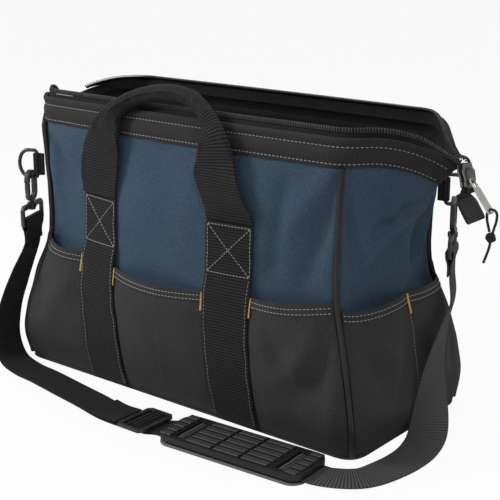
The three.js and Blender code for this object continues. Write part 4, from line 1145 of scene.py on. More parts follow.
EDGE_IN = 0.5 - SEAM_IN / STRIP
for face, centre, side, hand in LEGS:
    low, high = BOX_LOW, BOX_TOP - SEAM_IN
    corners = [(x * EDGE_IN, z) for x, z in ((-1, low), (1, low), (1, high), (-1, high))]
    lines = [(corners[k], corners[(k + 1) % 4]) for k in range(4)]
    lines += [(corners[0], corners[2]), (corners[1], corners[3])]
    rows = [strip_row(centre, hand, a, b) for a, b in lines]
    stitched(f"{face}_box_stitches_{side}", rows, grey_thread, length=2.8, pitch=3.8, radius=0.42)
    edges = [
        strip_row(centre, hand, (x, LOW + 3), (x, BOX_LOW - 2), 70) for x in (-EDGE_IN, EDGE_IN)
    ]
    stitched(
        f"{face}_strip_stitches_{side}", edges, dark_thread, length=2.8, pitch=3.8, radius=0.36
    )
print("boxes from", BOX_LOW, "to", BOX_TOP)

# %% [markdown]
# ## Base
# The base is a dark panel whose edge is turned up under the walls, with a stiff board laid on it
# inside. The panel is drawn again with a rounded edge, and the board keeps its measured solid.

# %% Base
def moulded(name, colour, grain=260, rough=0.55, relief=0.1):
    finish = Finish(name)
    speck = finish.mottle(grain, 3)
    cloud = finish.mottle(8, 4)
    share = speck * 0.5 + cloud * 0.5
    finish.coloured(share, colour, 0.78, 1.25, rough + 0.15 * cloud)
    return finish.relief(speck, relief)


base_finish = moulded("base_cloth", (42, 42, 42), grain=900, rough=0.7, relief=0.2)
loops = []
for height, offset in ((0.1, 0), (0.2, 1.8), (0.9, 2.9), (3.0, 3.0), (3.8, 2.5), (4.0, 1.4)):
    loop = [shell(4 * k / 160, 0, offset) for k in range(160)]
    loops.append([vec(p.x, p.y, height) for p in loop])
base = swept("base_cloth_panel", loops)
settle(base, [base_finish], "bag", ["base_panel"], 40)

board_finish = moulded("base_board_plastic", (44, 45, 47), grain=400, rough=0.5)
board_node = frame["nodes"]["base_board"]
board_node.data.materials.clear()
board_node.data.materials.append(board_finish.material)

# %% [markdown]
# ## Carry handles
# Each handle is one length of webbing. Its legs are flat where they leave the sewn boxes, and
# between them it is rolled round a foam core into a grip. A section that changes from a flat
# rectangle to an oval is swept along the handle's line, and the webbing's ribs follow it.

# %% Handle sections
HALF_WEB = STRIP / 2
FLAT = 1.0
GRIP_WIDE = 8
GRIP_THICK = 7
LEG_START = BOX_TOP + FLAT + 0.5 * GAP
GRIP_TOP = RIM + 22
GRIP_RISE = GRIP_TOP - BOX_TOP
LEG_LIFT = LAYER + FLAT
OVER = 1.2 + LAYER


def front_of(x, height, offset):
    high = min(height, RIM)
    return shell(share_of(x, high), high, offset).y


def clear_of(x, height, half, offset):
    return min(front_of(x + side, height, offset) for side in (-half, 0, half))


def oval(wide, thick, square, count=48):
    """A section from a flat rectangle, square 12, to a round grip, square 2."""
    points = []
    for k in range(count):
        turn = 2 * math.pi * (k + 0.5) / count
        c, s = math.cos(turn), math.sin(turn)
        a, b = math.copysign(abs(c) ** (2 / square), c), math.copysign(abs(s) ** (2 / square), s)
        points.append((wide * a, thick * b))
    return points


def handle_stop(place, wide, rolled):
    """A place, the way its width points, and how far the webbing is rolled there."""
    half, thick = mix(HALF_WEB, GRIP_WIDE, rolled), mix(FLAT, GRIP_THICK, rolled)
    return place, wide.normalized(), half, thick, mix(12, 2.3, min(1, rolled * 1.6))


def front_leg(x, share, rolled, side, offset):
    z = BOX_TOP + share * GRIP_RISE
    y = clear_of(x, z, mix(HALF_WEB, GRIP_WIDE, rolled), offset)
    return handle_stop(vec(x, y, z), vec(side, 0, rolled), rolled)


def front_grip(x, share, offset):
    return handle_stop(
        vec(x, front_of(x, RIM, offset), BOX_TOP + share * GRIP_RISE), vec(0, 0, 1), 1
    )


FOOT = clear_of(LEG_X - LEG_LEAN, BOX_TOP, HALF_WEB, LEG_LIFT)
RIGHT_LEG = [
    (LEG_X - LEG_LEAN, 0.05, 0, LEG_LIFT + 2), (LEG_X - 10, 0.11, 0, LEG_LIFT + 3),
    (LEG_X - 14, 0.18, 0, LEG_LIFT + 3.5), (LEG_X - 20, 0.27, 0, LEG_LIFT + 4),
    (LEG_X - 25, 0.38, 0, LEG_LIFT + 5), (LEG_X - 26, 0.49, 0.12, OVER + 6),
    (LEG_X - 29, 0.67, 0.5, OVER + 9), (LEG_X - 36, 0.79, 0.85, OVER + 9),
]
GRIP = [
    (LEG_X - 48, 0.89, OVER + 5), (LEG_X - 68, 0.975, OVER), (LEG_X - 100, 1, 0),
    (40 - LEG_X, 0.94, OVER), (22 - LEG_X, 0.87, OVER + 5),
]
LEFT_LEG = [
    (11 - LEG_X, 0.78, 0.85, OVER + 9), (5 - LEG_X, 0.66, 0.5, OVER + 9),
    (-LEG_X - 2, 0.47, 0.12, OVER + 6), (-LEG_X - 6, 0.28, 0, LEG_LIFT + 4),
    (-LEG_X - 8, 0.14, 0, LEG_LIFT + 3), (-LEG_X - LEG_LEAN, 0.05, 0, LEG_LIFT + 2),
]
front_stops = [
    handle_stop(vec(LEG_X - LEG_LEAN, FOOT, LEG_START), vec(1, 0, 0), 0),
    *(front_leg(x, share, rolled, 1, offset) for x, share, rolled, offset in RIGHT_LEG),
    *(front_grip(*place) for place in GRIP),
    *(front_leg(x, share, rolled, -1, offset) for x, share, rolled, offset in LEFT_LEG),
    handle_stop(vec(-LEG_X - LEG_LEAN, FOOT, LEG_START), vec(-1, 0, 0), 0),
]
BACK = -clear_of(LEG_X, BOX_TOP, HALF_WEB, LEG_LIFT)
HANG = 2 * STAND + GRIP_THICK + 4
ACROSS = vec(1, 0, 0)
HALF_ROLLED = vec(0.8, 0, -0.6)
DOWN = vec(0, 0, -1)
half_back = [handle_stop(vec(LEG_X - x, BACK + y, z), wide, rolled) for x, y, z, wide, rolled in (
    (0, 0, LEG_START, ACROSS, 0),
    (0, 2.6, LEG_START + 2, ACROSS, 0),
    (0, 6.4, LEG_START + 1.2, ACROSS, 0),
    (0, 14, BOX_TOP - 0.14 * GRIP_RISE, ACROSS, 0),
    (2, 24, BOX_TOP - 0.37 * GRIP_RISE, ACROSS, 0.2),
    (14, HANG - 2, BOX_TOP - 0.67 * GRIP_RISE, HALF_ROLLED, 0.7),
    (34, HANG, BOX_TOP - 0.86 * GRIP_RISE, HALF_ROLLED, 1),
    (60, HANG + 2, BOX_TOP - 0.98 * GRIP_RISE, DOWN, 1),
    (LEG_X, HANG + 3, BOX_TOP - GRIP_RISE, DOWN, 1),
)]
half_other = [
    (vec(-p.x, p.y, p.z), vec(-w.x, w.y, w.z), *size) for p, w, *size in reversed(half_back[:-1])
]
FOOT_ROOM = 0.9


def foot_wrap(point, middle):
    """The shift of a handle's flat foot. The front one is turned in to follow the curve of the
    wall. The back one hangs, so it stands a little off the wall and has room to turn."""
    if middle.y > 0:
        return vec(0, FOOT_ROOM, 0)
    near = front_of(point.x, point.z, LEG_LIFT) - clear_of(middle.x, point.z, HALF_WEB, LEG_LIFT)
    return vec(0, near, 0)


def handle_rings(stops, steps):
    """The sections of a handle, from foot to foot."""
    rings = []
    for _, t, i, f, at, along in walk(stops, steps, 0.002):
        low, high = stops[i], stops[i + 1]
        wide = low[1].lerp(high[1], f)
        thin = along.cross(wide).normalized()
        half, thick, square = [mix(low[n], high[n], f) for n in (2, 3, 4)]
        square_on = thin.cross(along).normalized()
        wide = wide.normalized().lerp(square_on, smooth(FLAT, 3, thick)).normalized()
        section = oval(half, thick, square)
        ring = [at + wide * a + thin * (b + creased(at, a, half, thick)) for a, b in section]
        wrap = 1 - smooth(0.8, 3.6, min(t, 1 - t) * (len(stops) - 1))
        rings.append([p + foot_wrap(p, at) * wrap for p in ring])
    return rings


def creased(at, across, half, thick):
    """Small creases where the webbing is squeezed round the grip, and a seam line along it."""
    squeezed = smooth(1.5, 4, thick)
    ripple = noise.noise(Vector((at.x * 0.11, at.z * 0.11, across * 0.16)))
    seam = math.exp(-((across / half - 0.25) / 0.12) ** 2)
    return squeezed * (1.3 * ripple - 1.1 * seam) + (1 - squeezed) * 0.5 * ripple


for node, stops in (("front_handle", front_stops), ("back_handle", half_back + half_other)):
    grip = swept(node + "_webbing", handle_rings(stops, 14))
    settle(grip, [webbing_along_up], node, [node], 60)
print("handle foot", round(FOOT, 1), round(BACK, 1), "top", GRIP_TOP)

# %% [markdown]
# ## Zip
# The zip is two chains of moulded teeth, each on the edge of a woven tape. The tape is sewn inside
# the collar, so the teeth stand along the rim and lean into the mouth. Past the right end both
# chains drop over the point of the collar, run into the slider and mesh. One tooth is drawn with
# slanted flanks, and copied along each chain, with the second chain half a pitch behind.

# %% Zip path
CHAIN_INSET = 4.8
CHAIN_RISE = 4.4
BEAD = 2.2
BEAD_RADIUS = 0.85
TAPE_HALF = 0.35
REACH = 3.2
CHAIN_THICK = 2.4
TAPE = 9
TAPE_GAP = 0.8
CHAIN_START = 0.9
TIP = vec(BASE_LENGTH / 2 + LEVELS[-1]["m"], 0, RIM - LEVELS[-1]["drop"])
TILT = 0.185
DOWN_CHAIN = vec(math.sin(TILT), 0, -math.cos(TILT))
SLIDER_AT = vec(TIP.x + 7.4, 0, TIP.z - 8)
MESHED = BEAD / 2 + 0.5 * REACH + 0.2
SPREAD = 7
FRONT_LEAN, BACK_LEAN = math.radians(74), math.radians(36)


def beside_bead(at, teeth, distance):
    return at - teeth * (BEAD / 2 + TAPE_GAP + distance)


def zip_stops(centre):
    facing = 1 if centre == 0 else -1
    tilt = FRONT_LEAN if centre == 0 else BACK_LEAN
    straight = vec(0, facing, 0)
    stops = []
    for k in range(81):
        u = facing * CHAIN_START * (2 * k / 80 - 1)
        place = shell(centre + u, RIM, -CHAIN_INSET)
        share = max(0.0, (abs(u) - CORNER_SHARE) / (1 - CORNER_SHARE))
        inward = shell(centre + u, RIM, -1) - shell(centre + u, RIM, 0)
        inward = vec(inward.x, inward.y, 0).normalized()
        lean = inward * math.cos(tilt) + vec(0, 0, math.sin(tilt))
        teeth = lean.lerp(straight, smooth(0.55, 0.8, share)).normalized()
        at = vec(place.x, -facing * max(SPREAD, abs(place.y)), place.z + CHAIN_RISE)
        sewn = shell(centre + u, RIM - TAPE, -3 - GAP - 0.8)
        stops.append((at, teeth, sewn.lerp(beside_bead(at, teeth, 2), smooth(0.1, 0.5, share))))
    spread, meshed = -facing * SPREAD, -facing * MESHED
    hanging = [(vec(TIP.x - 5, spread, TIP.z + 8), 2), (vec(TIP.x + 1, spread, TIP.z + 7.2), 2)]
    for distance, y, width in (
        (-13, spread, 2), (-8, spread, 2), (3, meshed, 2), (10, meshed, 2), (13, meshed, TAPE),
        (17, meshed, TAPE),
    ):
        at = SLIDER_AT + DOWN_CHAIN * distance
        hanging.append((vec(at.x, y, at.z), width))
    return stops + [(at, straight, beside_bead(at, straight, width)) for at, width in hanging]


def zip_frames(stops, step):
    """Even places along a chain: the bead, the way its teeth point, the way up, the tape's edge."""
    line = [stop[0] for stop in stops]
    fine = 6 * (len(line) - 1)
    places = smooth_line(line, fine)
    walked = [0.0]
    for a, b in zip(places, places[1:]):
        walked.append(walked[-1] + (b - a).length)
    total = walked[-1]
    count = int(total / step)
    frames, i = [], 0
    for k in range(count + 1):
        want = total - (count - k) * step
        while i < fine - 1 and walked[i + 1] < want:
            i += 1
        f = (want - walked[i]) / max(1e-6, walked[i + 1] - walked[i])
        share = (i + f) / 6
        n = min(int(share), len(stops) - 2)
        teeth = stops[n][1].lerp(stops[n + 1][1], share - n).normalized()
        far = stops[n][2].lerp(stops[n + 1][2], share - n)
        along = (places[min(i + 1, fine)] - places[max(i - 1, 0)]).normalized()
        up = along.cross(teeth).normalized()
        frames.append((places[i].lerp(places[i + 1], f), up.cross(along), up, far, along))
    return frames


CHAINS = {face: zip_stops(centre) for face, centre in FACES}
print("zip length", round(line_length([s[0] for s in CHAINS["front"]])), "mm each side")

# %% [markdown]
# The tooth is a small block, wider at its head than at its neck, with its top edges taken off.

# %% Zip teeth and tapes
def moulded_black(name):
    finish = Finish(name)
    worn = finish.mottle(160, 4)
    finish.set(Base_Color=finish.blend(worn, tone(30, 30, 31), tone(92, 92, 92)))
    finish.set(Roughness=0.5 + 0.2 * worn, Specular_IOR_Level=0.35)
    return finish.relief(worn, 0.05)


teeth_finish = moulded_black("zip_teeth_plastic")
tape_cloth = woven("zip_tape_weave", (40, 40, 41), pitch=0.8, change=0.25)
TOOTH_PITCH = 2.7


def tooth_mesh(frames, phase):
    points, faces = [], []
    half = CHAIN_THICK / 2
    head = REACH + BEAD / 2
    profile = [(0.0, 0.45), (1.7, 0.45), (2.3, 0.72), (head - 0.35, 0.72), (head, 0.46)]
    for middle, teeth, up, _, along in frames[1:-1]:
        first = len(points)
        for level, inset in ((-half, 0.25), (-half + 0.4, 0), (half - 0.4, 0), (half, 0.25)):
            for reach, wide in profile:
                for side in (-1, 1):
                    spot = middle + along * (side * (wide - inset * 0.5) + phase)
                    points.append(spot + teeth * (reach - (inset if reach > 3 else 0)) + up * level)
        ring = [0, 2, 4, 6, 8, 9, 7, 5, 3, 1]
        for j in range(3):
            for i in range(10):
                m = (i + 1) % 10
                a, b = first + 10 * j, first + 10 * (j + 1)
                faces.append((a + ring[i], a + ring[m], b + ring[m], b + ring[i]))
        for j, flip in ((0, False), (3, True)):
            base = first + 10 * j
            for i in range(4):
                quad = [base + 2 * i, base + 2 * i + 1, base + 2 * i + 3, base + 2 * i + 2]
                faces.append(tuple(reversed(quad)) if flip else tuple(quad))
    return points, faces


for side, stops in CHAINS.items():
    phase = 0 if side == "front" else -TOOTH_PITCH / 2
    frames = zip_frames(stops, TOOTH_PITCH)
    points, faces = tooth_mesh(frames, phase)
    teeth = new_object(f"{side}_zip_teeth_row", points, faces)
    settle(outward(teeth), [teeth_finish], "bag", [f"{side}_zip_teeth"], 30)
    fine = zip_frames(stops, 2.5)
    bead = swept(f"{side}_zip_bead", tube_rings([f[0] for f in fine], BEAD_RADIUS, 8, fine[0][1]))
    settle(bead, [tape_cloth], "bag", (), 60)
    rings = []
    for middle, tooth_way, up, far, along in fine:
        near = beside_bead(middle, tooth_way, -TAPE_GAP)
        sheet_up = along.cross(far - near).normalized() * TAPE_HALF
        steps = [near.lerp(far, k / 5) for k in range(6)]
        rings.append([p + sheet_up for p in steps] + [p - sheet_up for p in reversed(steps)])
    tape = swept(f"{side}_zip_tape_cloth", rings)
    settle(tape, [tape_cloth], "bag", [f"{side}_zip_tape"], 60)
print("teeth on one side", len(frames) - 2)

# %% [markdown]
# ## Rounding measured hardware
# Cast and moulded hardware has no sharp edges. For each such node a copy of its measured mesh is
# merged into proper faces, its flat areas are dissolved into single faces, and a bevel rounds the
# edges that are left. That keeps every hole where the joints need it.

# %% Rounded copies
MERGE = 0.00002
FLAT_TURN = math.radians(4)


def rounded_copy(node, name, finish, body, width):
    """A measured node with its edges rounded to a width in millimetres."""
    original = frame["nodes"][node]
    copy = original.copy()
    copy.data = original.data.copy()
    copy.name = name
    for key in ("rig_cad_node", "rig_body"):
        if key in copy:
            del copy[key]
    copy.parent = None
    bpy.context.scene.collection.objects.link(copy)
    copy.data.materials.clear()
    choose(copy)
    bpy.ops.object.mode_set(mode="EDIT")
    bpy.ops.mesh.select_all(action="SELECT")
    bpy.ops.mesh.remove_doubles(threshold=MERGE)
    bpy.ops.mesh.dissolve_limited(angle_limit=FLAT_TURN)
    bpy.ops.mesh.normals_make_consistent(inside=False)
    bpy.ops.object.mode_set(mode="OBJECT")
    if copy.data.has_custom_normals:
        bpy.ops.mesh.customdata_custom_splitnormals_clear()
    rounded_edge(copy, width, 3, 40)
    return settle(copy, [finish], body, [node], 35)


def cast_black(name, rub):
    finish = Finish(name)
    worn = finish.mottle(220, 4)
    cloud = finish.mottle(45, 3)
    bright = (worn * cloud) ** 2 * rub
    finish.set(Base_Color=finish.blend(bright, tone(34, 34, 35), tone(150, 148, 144)))
    finish.set(Metallic=0.25 + 0.7 * bright, Roughness=0.32 + 0.2 * worn, Specular_IOR_Level=0.6)
    return finish.relief(worn, 0.05)


def nickel_plate(name, share=1.0):
    finish = Finish(name)
    cloud = finish.mottle(90, 4)
    scratch = finish.mottle(600, 2)
    base = finish.blend(cloud, tone(182, 180, 174, share), tone(232, 230, 224, share))
    finish.set(Base_Color=base, Metallic=1.0, Roughness=0.2 + 0.22 * scratch)
    return finish.relief(scratch, 0.03)


black_cast = cast_black("black_enamelled_metal", 1.6)
nickel = nickel_plate("nickel_plate")
slider_nickel = nickel_plate("slider_nickel", 0.62)
HARDWARE = [
    ("zip_slider", slider_nickel, "zip_slider", "nickel", 0.45),
    ("zip_puller", nickel, "zip_puller", "nickel", 0.5),
    ("strap_adjuster", black_cast, "strap", "black_metal", 0.8),
]
for hand in ("right", "left"):
    HARDWARE += [
        (f"snap_hook_{hand}", black_cast, "strap", "black_metal", 1.3),
        (f"strap_loop_{hand}", black_cast, "strap", "black_metal", 1.1),
        (f"hook_gate_{hand}", black_cast, f"gate_{hand}", "black_metal", 0.9),
    ]
for node, finish, body, slot, width in HARDWARE:
    piece = rounded_copy(node, node + "_rounded", finish, body, width)
    print(node, len(piece.data.polygons), "faces")

# %% [markdown]
# ## D-rings
# A D-ring is bent from round wire, so it is a closed tube: a straight bar inside the webbing tab
# and a bow outside it.

# %% D-rings
RING_BAR = 4
RING_HALF = 15
BAR_X = 8
TAB_LOOP = 3.35
TAB_THICK = 1.8
RING_TAB_HALF = 12
HOOK_X = BAR_X + 9
RING_START = math.hypot(196.913, 84.438)
RING_TURN = 0.40509
RING_HEIGHT = 224


def corner_frame(hand):
    turn = RING_TURN if hand == "right" else RING_TURN + math.pi
    out = vec(math.cos(turn), math.sin(turn), 0)
    return out, vec(-out.y, out.x, 0)


def corner_place(hand, x, z, y=0.0):
    out, side = corner_frame(hand)
    return out * (RING_START + x) + side * y + vec(0, 0, RING_HEIGHT + z)


def ring_line():
    points = [(BAR_X, k * 3.0) for k in range(-4, 5)]
    points += [(BAR_X + 0.9, RING_HALF - 0.9), (BAR_X + 3, RING_HALF), (HOOK_X - 3, RING_HALF)]
    for k in range(17):
        turn = (0.5 - k / 16) * math.pi
        points.append((HOOK_X + 1 + 11 * math.cos(turn), RING_HALF * math.sin(turn)))
    return points + [
        (HOOK_X - 3, -RING_HALF), (BAR_X + 3, -RING_HALF), (BAR_X + 0.9, -RING_HALF + 0.9)
    ]


for hand in ("right", "left"):
    line = [corner_place(hand, x, z) for x, z in ring_line()]
    rings = tube_rings(line, RING_BAR / 2, 14, corner_frame(hand)[1], closed=True)
    ring = swept(f"d_ring_{hand}_wire", rings, closed=True)
    settle(ring, [black_cast], f"ring_{hand}", [f"d_ring_{hand}"], 60)
print("ring bow", HOOK_X + 12)

# %% [markdown]
# ## Webbing tabs
# A short loop of webbing holds each ring, and a folded tab is sewn over both ends of the zip for
# pulling against. Webbing is a band swept along its middle line: a flat section with round edges.

# %% Tabs
def band_section(half, thick, count=9):
    """A flat webbing section: straight faces, rounded edges."""
    top = [(mix(-half + 0.8, half - 0.8, k / count), thick / 2) for k in range(count + 1)]
    right = [(half - 0.25, thick * 0.32), (half, 0.0), (half - 0.25, -thick * 0.32)]
    return top + right + [(a, -b) for a, b in reversed(top)] + [(-a, -b) for a, b in right]


def band_rings(stops, half, thick, steps, wave=0.0):
    """Sections along a line of (place, way across). A wave curls the edges of the band a little."""
    rings = []
    for k, _, i, f, at, along in walk(stops, steps, 0.0015):
        wide = stops[i][1].lerp(stops[i + 1][1], f).normalized()
        out = along.cross(wide).normalized()
        curl = wave * noise.noise(Vector((k * 0.13, half, 5.0)))
        section = band_section(half, thick)
        rings.append([at + wide * a + out * (b + curl * (a / half) ** 2) for a, b in section])
    return rings


for hand in ("right", "left"):
    out, side = corner_frame(hand)
    profile = [(0.2, -1.2), (3.4, -1.3)]
    for k in range(13):
        turn = (-0.62 + 1.24 * k / 12) * math.pi
        profile.append((BAR_X + TAB_LOOP * math.cos(turn), TAB_LOOP * math.sin(turn)))
    profile += [(3.4, 1.3), (0.2, 1.2)]
    stops = [(corner_place(hand, x, 0, y), vec(0, 0, 1)) for x, y in profile]
    tab = swept(f"ring_tab_{hand}_webbing", band_rings(stops, RING_TAB_HALF, TAB_THICK, 3))
    settle(tab, [webbing_along_up], "bag", [f"ring_tab_{hand}"], 60)


TAB_NARROW, TAB_WIDE = 9, 15
TAB_PROFILE = [
    (0, 1.05), (9, 1.1), (18, 1.1), (25, 1.1), (27.4, 0.7), (28, 0), (27.4, -0.7), (25, -1.1),
    (12, -1.1), (0, -1.05),
]


def end_tab(name, start, down, node):
    """A folded strip: down one layer, round the fold and up behind it."""
    out = vec(-down.z, 0, down.x)
    if out.x * start.x < 0:
        out = -out
    rings = []
    stops = [(start + down * a + out * b, a) for a, b in TAB_PROFILE]
    for _, _, i, f, at, along in walk(stops, 4, 0.01):
        reach = mix(stops[i][1], stops[i + 1][1], f)
        half = mix(TAB_NARROW, TAB_WIDE, smooth(0, 12, reach))
        face = along.cross(vec(0, 1, 0)).normalized()
        rings.append([at + vec(0, 1, 0) * a + face * b for a, b in band_section(half, TAB_THICK)])
    settle(swept(name, rings), [fine_webbing], "bag", [node], 60)


RIGHT_TAB = SLIDER_AT + DOWN_CHAIN * 18.5 + vec(-6, 0, 2)
RIGHT_DOWN = vec(0.55, 0, -0.83).normalized()
LEFT_TAB = vec(-TIP.x - 2.4, 0, TIP.z + 3)
LEFT_DOWN = vec(-0.3, 0, -0.95).normalized()
end_tab("right_end_tab_webbing", RIGHT_TAB, RIGHT_DOWN, "right_end_tab")
end_tab("left_end_tab_webbing", LEFT_TAB, LEFT_DOWN, "left_end_tab")
print("tabs done")

# %% [markdown]
# ## Shoulder strap
# The strap is one length of 38 mm webbing. At each end it turns round the lower bar of a wire loop
# and is sewn back on itself. It falls beside the bag, lies along the floor in front, goes through
# the adjuster and under the pad, and comes back up at the other end. Real webbing keeps its width
# and bends only across it, so each stop gives the way its width points.

# %% Strap line
STRAP_HALF = 19
STRAP_CURL = 0.5
LIE = 1.1
PAD_AT = vec(131, -146, 0)
PAD_TURN = 0.06
PAD_ALONG = vec(math.cos(PAD_TURN), math.sin(PAD_TURN), 0)
PAD_SIDE = vec(-PAD_ALONG.y, PAD_ALONG.x, 0)
PAD_HALF = 82
PAD_WEB = 3.4
ADJUSTER = vec(18, -157, 0)
LOOP_BAR = 209 - 47.05
OVER_BAR = 5.0 + 3 + GAP + 1 + 0.2


def stop(x, y, z, wide_x, wide_y):
    return (vec(x, y, z), vec(wide_x, wide_y, 0).normalized())


def pad_stop(distance, height=PAD_WEB):
    at = PAD_AT + PAD_ALONG * distance
    return (vec(at.x, at.y, height), PAD_SIDE)


def loop_turn(hand):
    """The webbing round a wire loop's lower bar, as stops from its sewn end."""
    out, side = corner_frame(hand)
    bar = out * (RING_START + HOOK_X) + vec(0, 0, LOOP_BAR)
    wrap, layer = 3.7, 1.3
    profile = [
        (-layer, -24), (-layer - 0.3, -12), (-wrap, -4), (-wrap, 1), (-0.55 * wrap, 0.9 * wrap),
        (0.55 * wrap, 0.9 * wrap),
        (wrap, 1), (wrap, -4), (layer + 0.3, -12), (layer, -24),
    ]
    return [(bar + out * x + vec(0, 0, z), -side) for x, z in profile]


weave = [
    (-15, PAD_WEB - 1), (-12.5, PAD_WEB), (-9, PAD_WEB + 1.8), (-5.4, OVER_BAR - 1.4),
    (-3, OVER_BAR - 0.2), (0, OVER_BAR), (3, OVER_BAR - 0.2), (5.4, OVER_BAR - 1.4),
    (9, PAD_WEB + 1.8), (12.5, PAD_WEB),
]
weave_stops = [stop(ADJUSTER.x + x, ADJUSTER.y, z, 0, 1) for x, z in weave]
left_run = loop_turn("left") + [
    stop(-224, -97, 108, -0.22, 0.97), stop(-232, -104, 82, -0.12, 0.99),
    stop(-236, -112, 54, -0.08, 1), stop(-232, -120, 26, -0.04, 1), stop(-216, -126, 7, 0, 1),
    stop(-190, -130, 1.6, 0, 1), stop(-155, -134, LIE, 0.04, 1), stop(-105, -142, LIE, 0.12, 1),
    stop(-60, -150, LIE, 0.12, 1), stop(-25, -156, LIE, 0.04, 1),
] + weave_stops[:6]
middle_run = [stop(ADJUSTER.x + 2 * GAP, ADJUSTER.y, OVER_BAR, 0, 1)] + weave_stops[6:] + [
    pad_stop(-PAD_HALF - 6), pad_stop(-PAD_HALF + 4), pad_stop(0), pad_stop(PAD_HALF - 2),
]
right_run = [pad_stop(PAD_HALF - 2 + GAP), pad_stop(PAD_HALF + 7)] + [
    stop(248, -122, 2.4, -0.7, 0.7), stop(256, -96, LIE, -0.95, 0.3), stop(260, -64, LIE, -1, 0),
    stop(258, -35, 1.8, -0.98, -0.2), stop(253, -13, 7, -0.88, -0.48), stop(248, 0, 23, -0.6, -0.8),
    stop(244, 7, 49, -0.2, -0.98), stop(243, 15, 80, 0.1, -0.99), stop(240, 34, 103, 0.3, -0.95),
    stop(231, 64, 121, 0.39, -0.92),
] + [(p, w) for p, w in reversed(loop_turn("right"))]
RUNS = {
    "strap_webbing_left": left_run, "strap_webbing_middle": middle_run,
    "strap_webbing_right": right_run
}
print({name: round(line_length([s[0] for s in run])) for name, run in RUNS.items()})

# %% Strap webbing
ON_FLOOR = 0.05


def lifted(rings):
    """Keeps a band on or above the floor."""
    return [[vec(p.x, p.y, max(p.z, ON_FLOOR)) for p in ring] for ring in rings]


for node, run in RUNS.items():
    wave = 0 if node == "strap_webbing_middle" else STRAP_CURL
    finish = right_webbing if node == "strap_webbing_right" else webbing_along_up
    band = swept(node + "_band", lifted(band_rings(run, STRAP_HALF, WEB_THICK, 8, wave)))
    settle(band, [finish], "strap", [node], 60)
END_LIE = LIE + 2 + 2 * GAP
loose = [
    stop(-46, -152.5, END_LIE, 0.12, 1), stop(-25, -156, END_LIE, 0.04, 1),
    stop(-5, -157, END_LIE + 1.2, 0, 1),
]
band = swept("strap_webbing_end_band", band_rings(loose, STRAP_HALF, WEB_THICK, 8))
settle(band, [webbing_along_up], "strap", ["strap_webbing_end"], 60)
print("strap done")

# %% [markdown]
# ## Shoulder pad
# The pad is moulded rubber with rows of raised bars that grip the shoulder. Each end has a slot
# that shows the webbing as a small arch. The bars are drawn wider than the measured ones, with a
# short row at each end. A softer grey layer is bonded below the rubber and shows as a pale edge.

# %% Pad
def barred_rubber(name):
    """Worn bars above, painted shade in the recesses below."""
    finish = Finish(name)
    height = finish.split(finish.where())[2]
    bar_tops_vs_shaded_recesses = finish.node("ShaderNodeMapRange", {}, height, 10.2 * MM, 11.3 * MM, 0.0, 1.0)
    worn = finish.mottle(90, 4)
    speck = finish.mottle(700, 3)
    top = finish.blend(worn * 0.6 + speck * 0.4, tone(38, 38, 40), tone(72, 72, 74))
    # Painted shade: below the bar tops the rubber is coloured near black, as shade falls in the
    # recesses.
    deep = finish.blend(speck, tone(13, 13, 13), tone(24, 24, 24))
    finish.set(Base_Color=finish.blend(bar_tops_vs_shaded_recesses, deep, top), Roughness=0.45 + 0.2 * speck)
    return finish.relief(speck, 0.12)


pad_rubber = barred_rubber("pad_rubber")
pad_foam = moulded("pad_foam", (112, 112, 110), grain=500, rough=0.8, relief=0.2)
pad = rounded_copy("shoulder_pad", "shoulder_pad_moulded", pad_rubber, "pad", 0.9)
backing = rounded_copy(
    "shoulder_pad_backing", "shoulder_pad_foam", pad_foam, "pad", 0.7
)

BAR_PITCH = 10.5
BAR_HALF = 3.7
BAR_LEVELS = ((9.4, 0), (11.3, 0), (11.8, 0.5))
BAR_COLUMNS = ((-PAD_HALF + 10.5, 6), (-32, 14.4), (0, 14.4), (32, 14.4), (PAD_HALF - 10.5, 6))
points, faces = [], []
for along, half in BAR_COLUMNS:
    for row in (-2, -1, 0, 1, 2):
        middle = PAD_AT + PAD_ALONG * along + PAD_SIDE * row * BAR_PITCH
        first = len(points)
        for z, inset in BAR_LEVELS:
            for x, y in ((-1, -1), (1, -1), (1, 1), (-1, 1)):
                spot = middle + PAD_ALONG * x * (half - inset) + PAD_SIDE * y * (BAR_HALF - inset)
                points.append(vec(spot.x, spot.y, z))
        faces += stack_faces(first, 4, len(BAR_LEVELS))
bars = new_object("shoulder_pad_bars", points, faces)
settle(bars, [pad_rubber], "pad", (), 30)
SLOT_AT = PAD_HALF - 24
ARCH_THICK = 1.4
ARCH = ((-4.4, 5.6), (-2.2, 8.2), (0, 9.0), (2.2, 8.2), (4.4, 5.6))
for hand, end in HANDS:
    rise = [pad_stop(end * SLOT_AT + x, z) for x, z in ARCH]
    window = swept(f"shoulder_pad_window_{hand}", band_rings(rise, STRAP_HALF, ARCH_THICK, 4))
    settle(window, [right_webbing], "pad", (), 60)
print("pad", len(pad.data.polygons), "faces")

# %% [markdown]
# ## Light, floor and backdrop
# The bag stands on a plain pale floor under soft studio light: a large lamp in front to the left,
# a weaker one to the right, and one above. The world is white only to the camera, and partly to
# gloss, so the backdrop is plain white while colours render about as written.

# %% Floor and backdrop
CAMERA_WHITE = 0.93


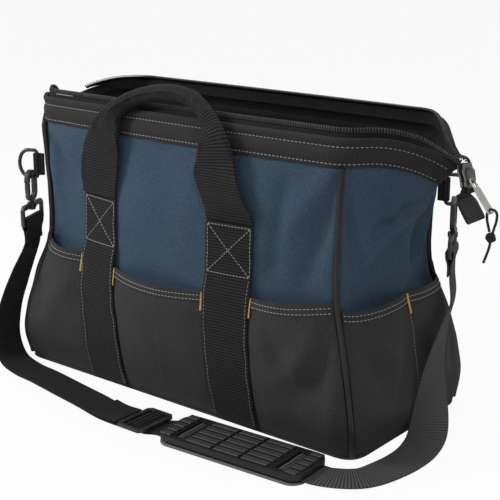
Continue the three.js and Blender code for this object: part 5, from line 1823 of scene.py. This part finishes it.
def studio_white(name, shade_of):
    finish = Finish(name)
    soft = finish.mottle(3, 2)
    finish.coloured(soft, shade_of, 0.99, 1.0, 0.6)
    glow = finish.node("ShaderNodeEmission", {}, (1, 1, 1, 1), 1.0)
    share = finish.node("ShaderNodeLightPath", {}, out="Is Camera Ray") * CAMERA_WHITE
    surface = Signal(finish, finish.shader.outputs[0])
    shown = finish.node("ShaderNodeMixShader", {}, share, surface, glow)
    finish.feed(finish.tree.nodes["Material Output"].inputs["Surface"], shown)
    return finish


deselect()
bpy.ops.mesh.primitive_plane_add(size=40, location=(0, 0, 0))
floor = bpy.context.active_object
floor.name = "floor"
floor.data.materials.append(studio_white("studio_floor", (244, 244, 244)).material)

WORLD_LIGHT = 0.2
GLOSS_SHARE = 0.35
WHITE = (1, 1, 1, 1)
world = bpy.data.worlds.new("studio")
bpy.context.scene.world = world
world.use_nodes = True
sky = Tree(world.node_tree)
background = sky.tree.nodes["Background"]
sky.feed(background.inputs["Color"], WHITE)
sky.feed(background.inputs["Strength"], WORLD_LIGHT)
white = sky.node("ShaderNodeBackground", {}, Color=WHITE, Strength=1.0)
gloss = sky.node("ShaderNodeLightPath", {}, out="Is Glossy Ray") * GLOSS_SHARE
seen = sky.node("ShaderNodeLightPath", {}, out="Is Camera Ray")
share = sky.node("ShaderNodeMath", {"operation": "MAXIMUM"}, seen, gloss)
shown = sky.node("ShaderNodeMixShader", {}, share, Signal(sky, background.outputs[0]), white)
sky.feed(sky.tree.nodes["World Output"].inputs["Surface"], shown)


LAMP_AIM = Vector((0, 0, 0.15))


def lamp(name, place, size, power):
    data = bpy.data.lights.new(name, "AREA")
    data.shape = "DISK"
    data.size = size
    data.energy = power
    thing = bpy.data.objects.new(name, data)
    thing.location = place
    thing.rotation_euler = (LAMP_AIM - Vector(place)).to_track_quat("-Z", "Y").to_euler()
    bpy.context.scene.collection.objects.link(thing)


lamp("key", (-0.95, -0.8, 0.95), 0.45, 11.5)
lamp("fill", (0.78, -0.55, 1.4), 0.35, 5)
lamp("top", (0.15, 0.4, 1.6), 0.8, 8)
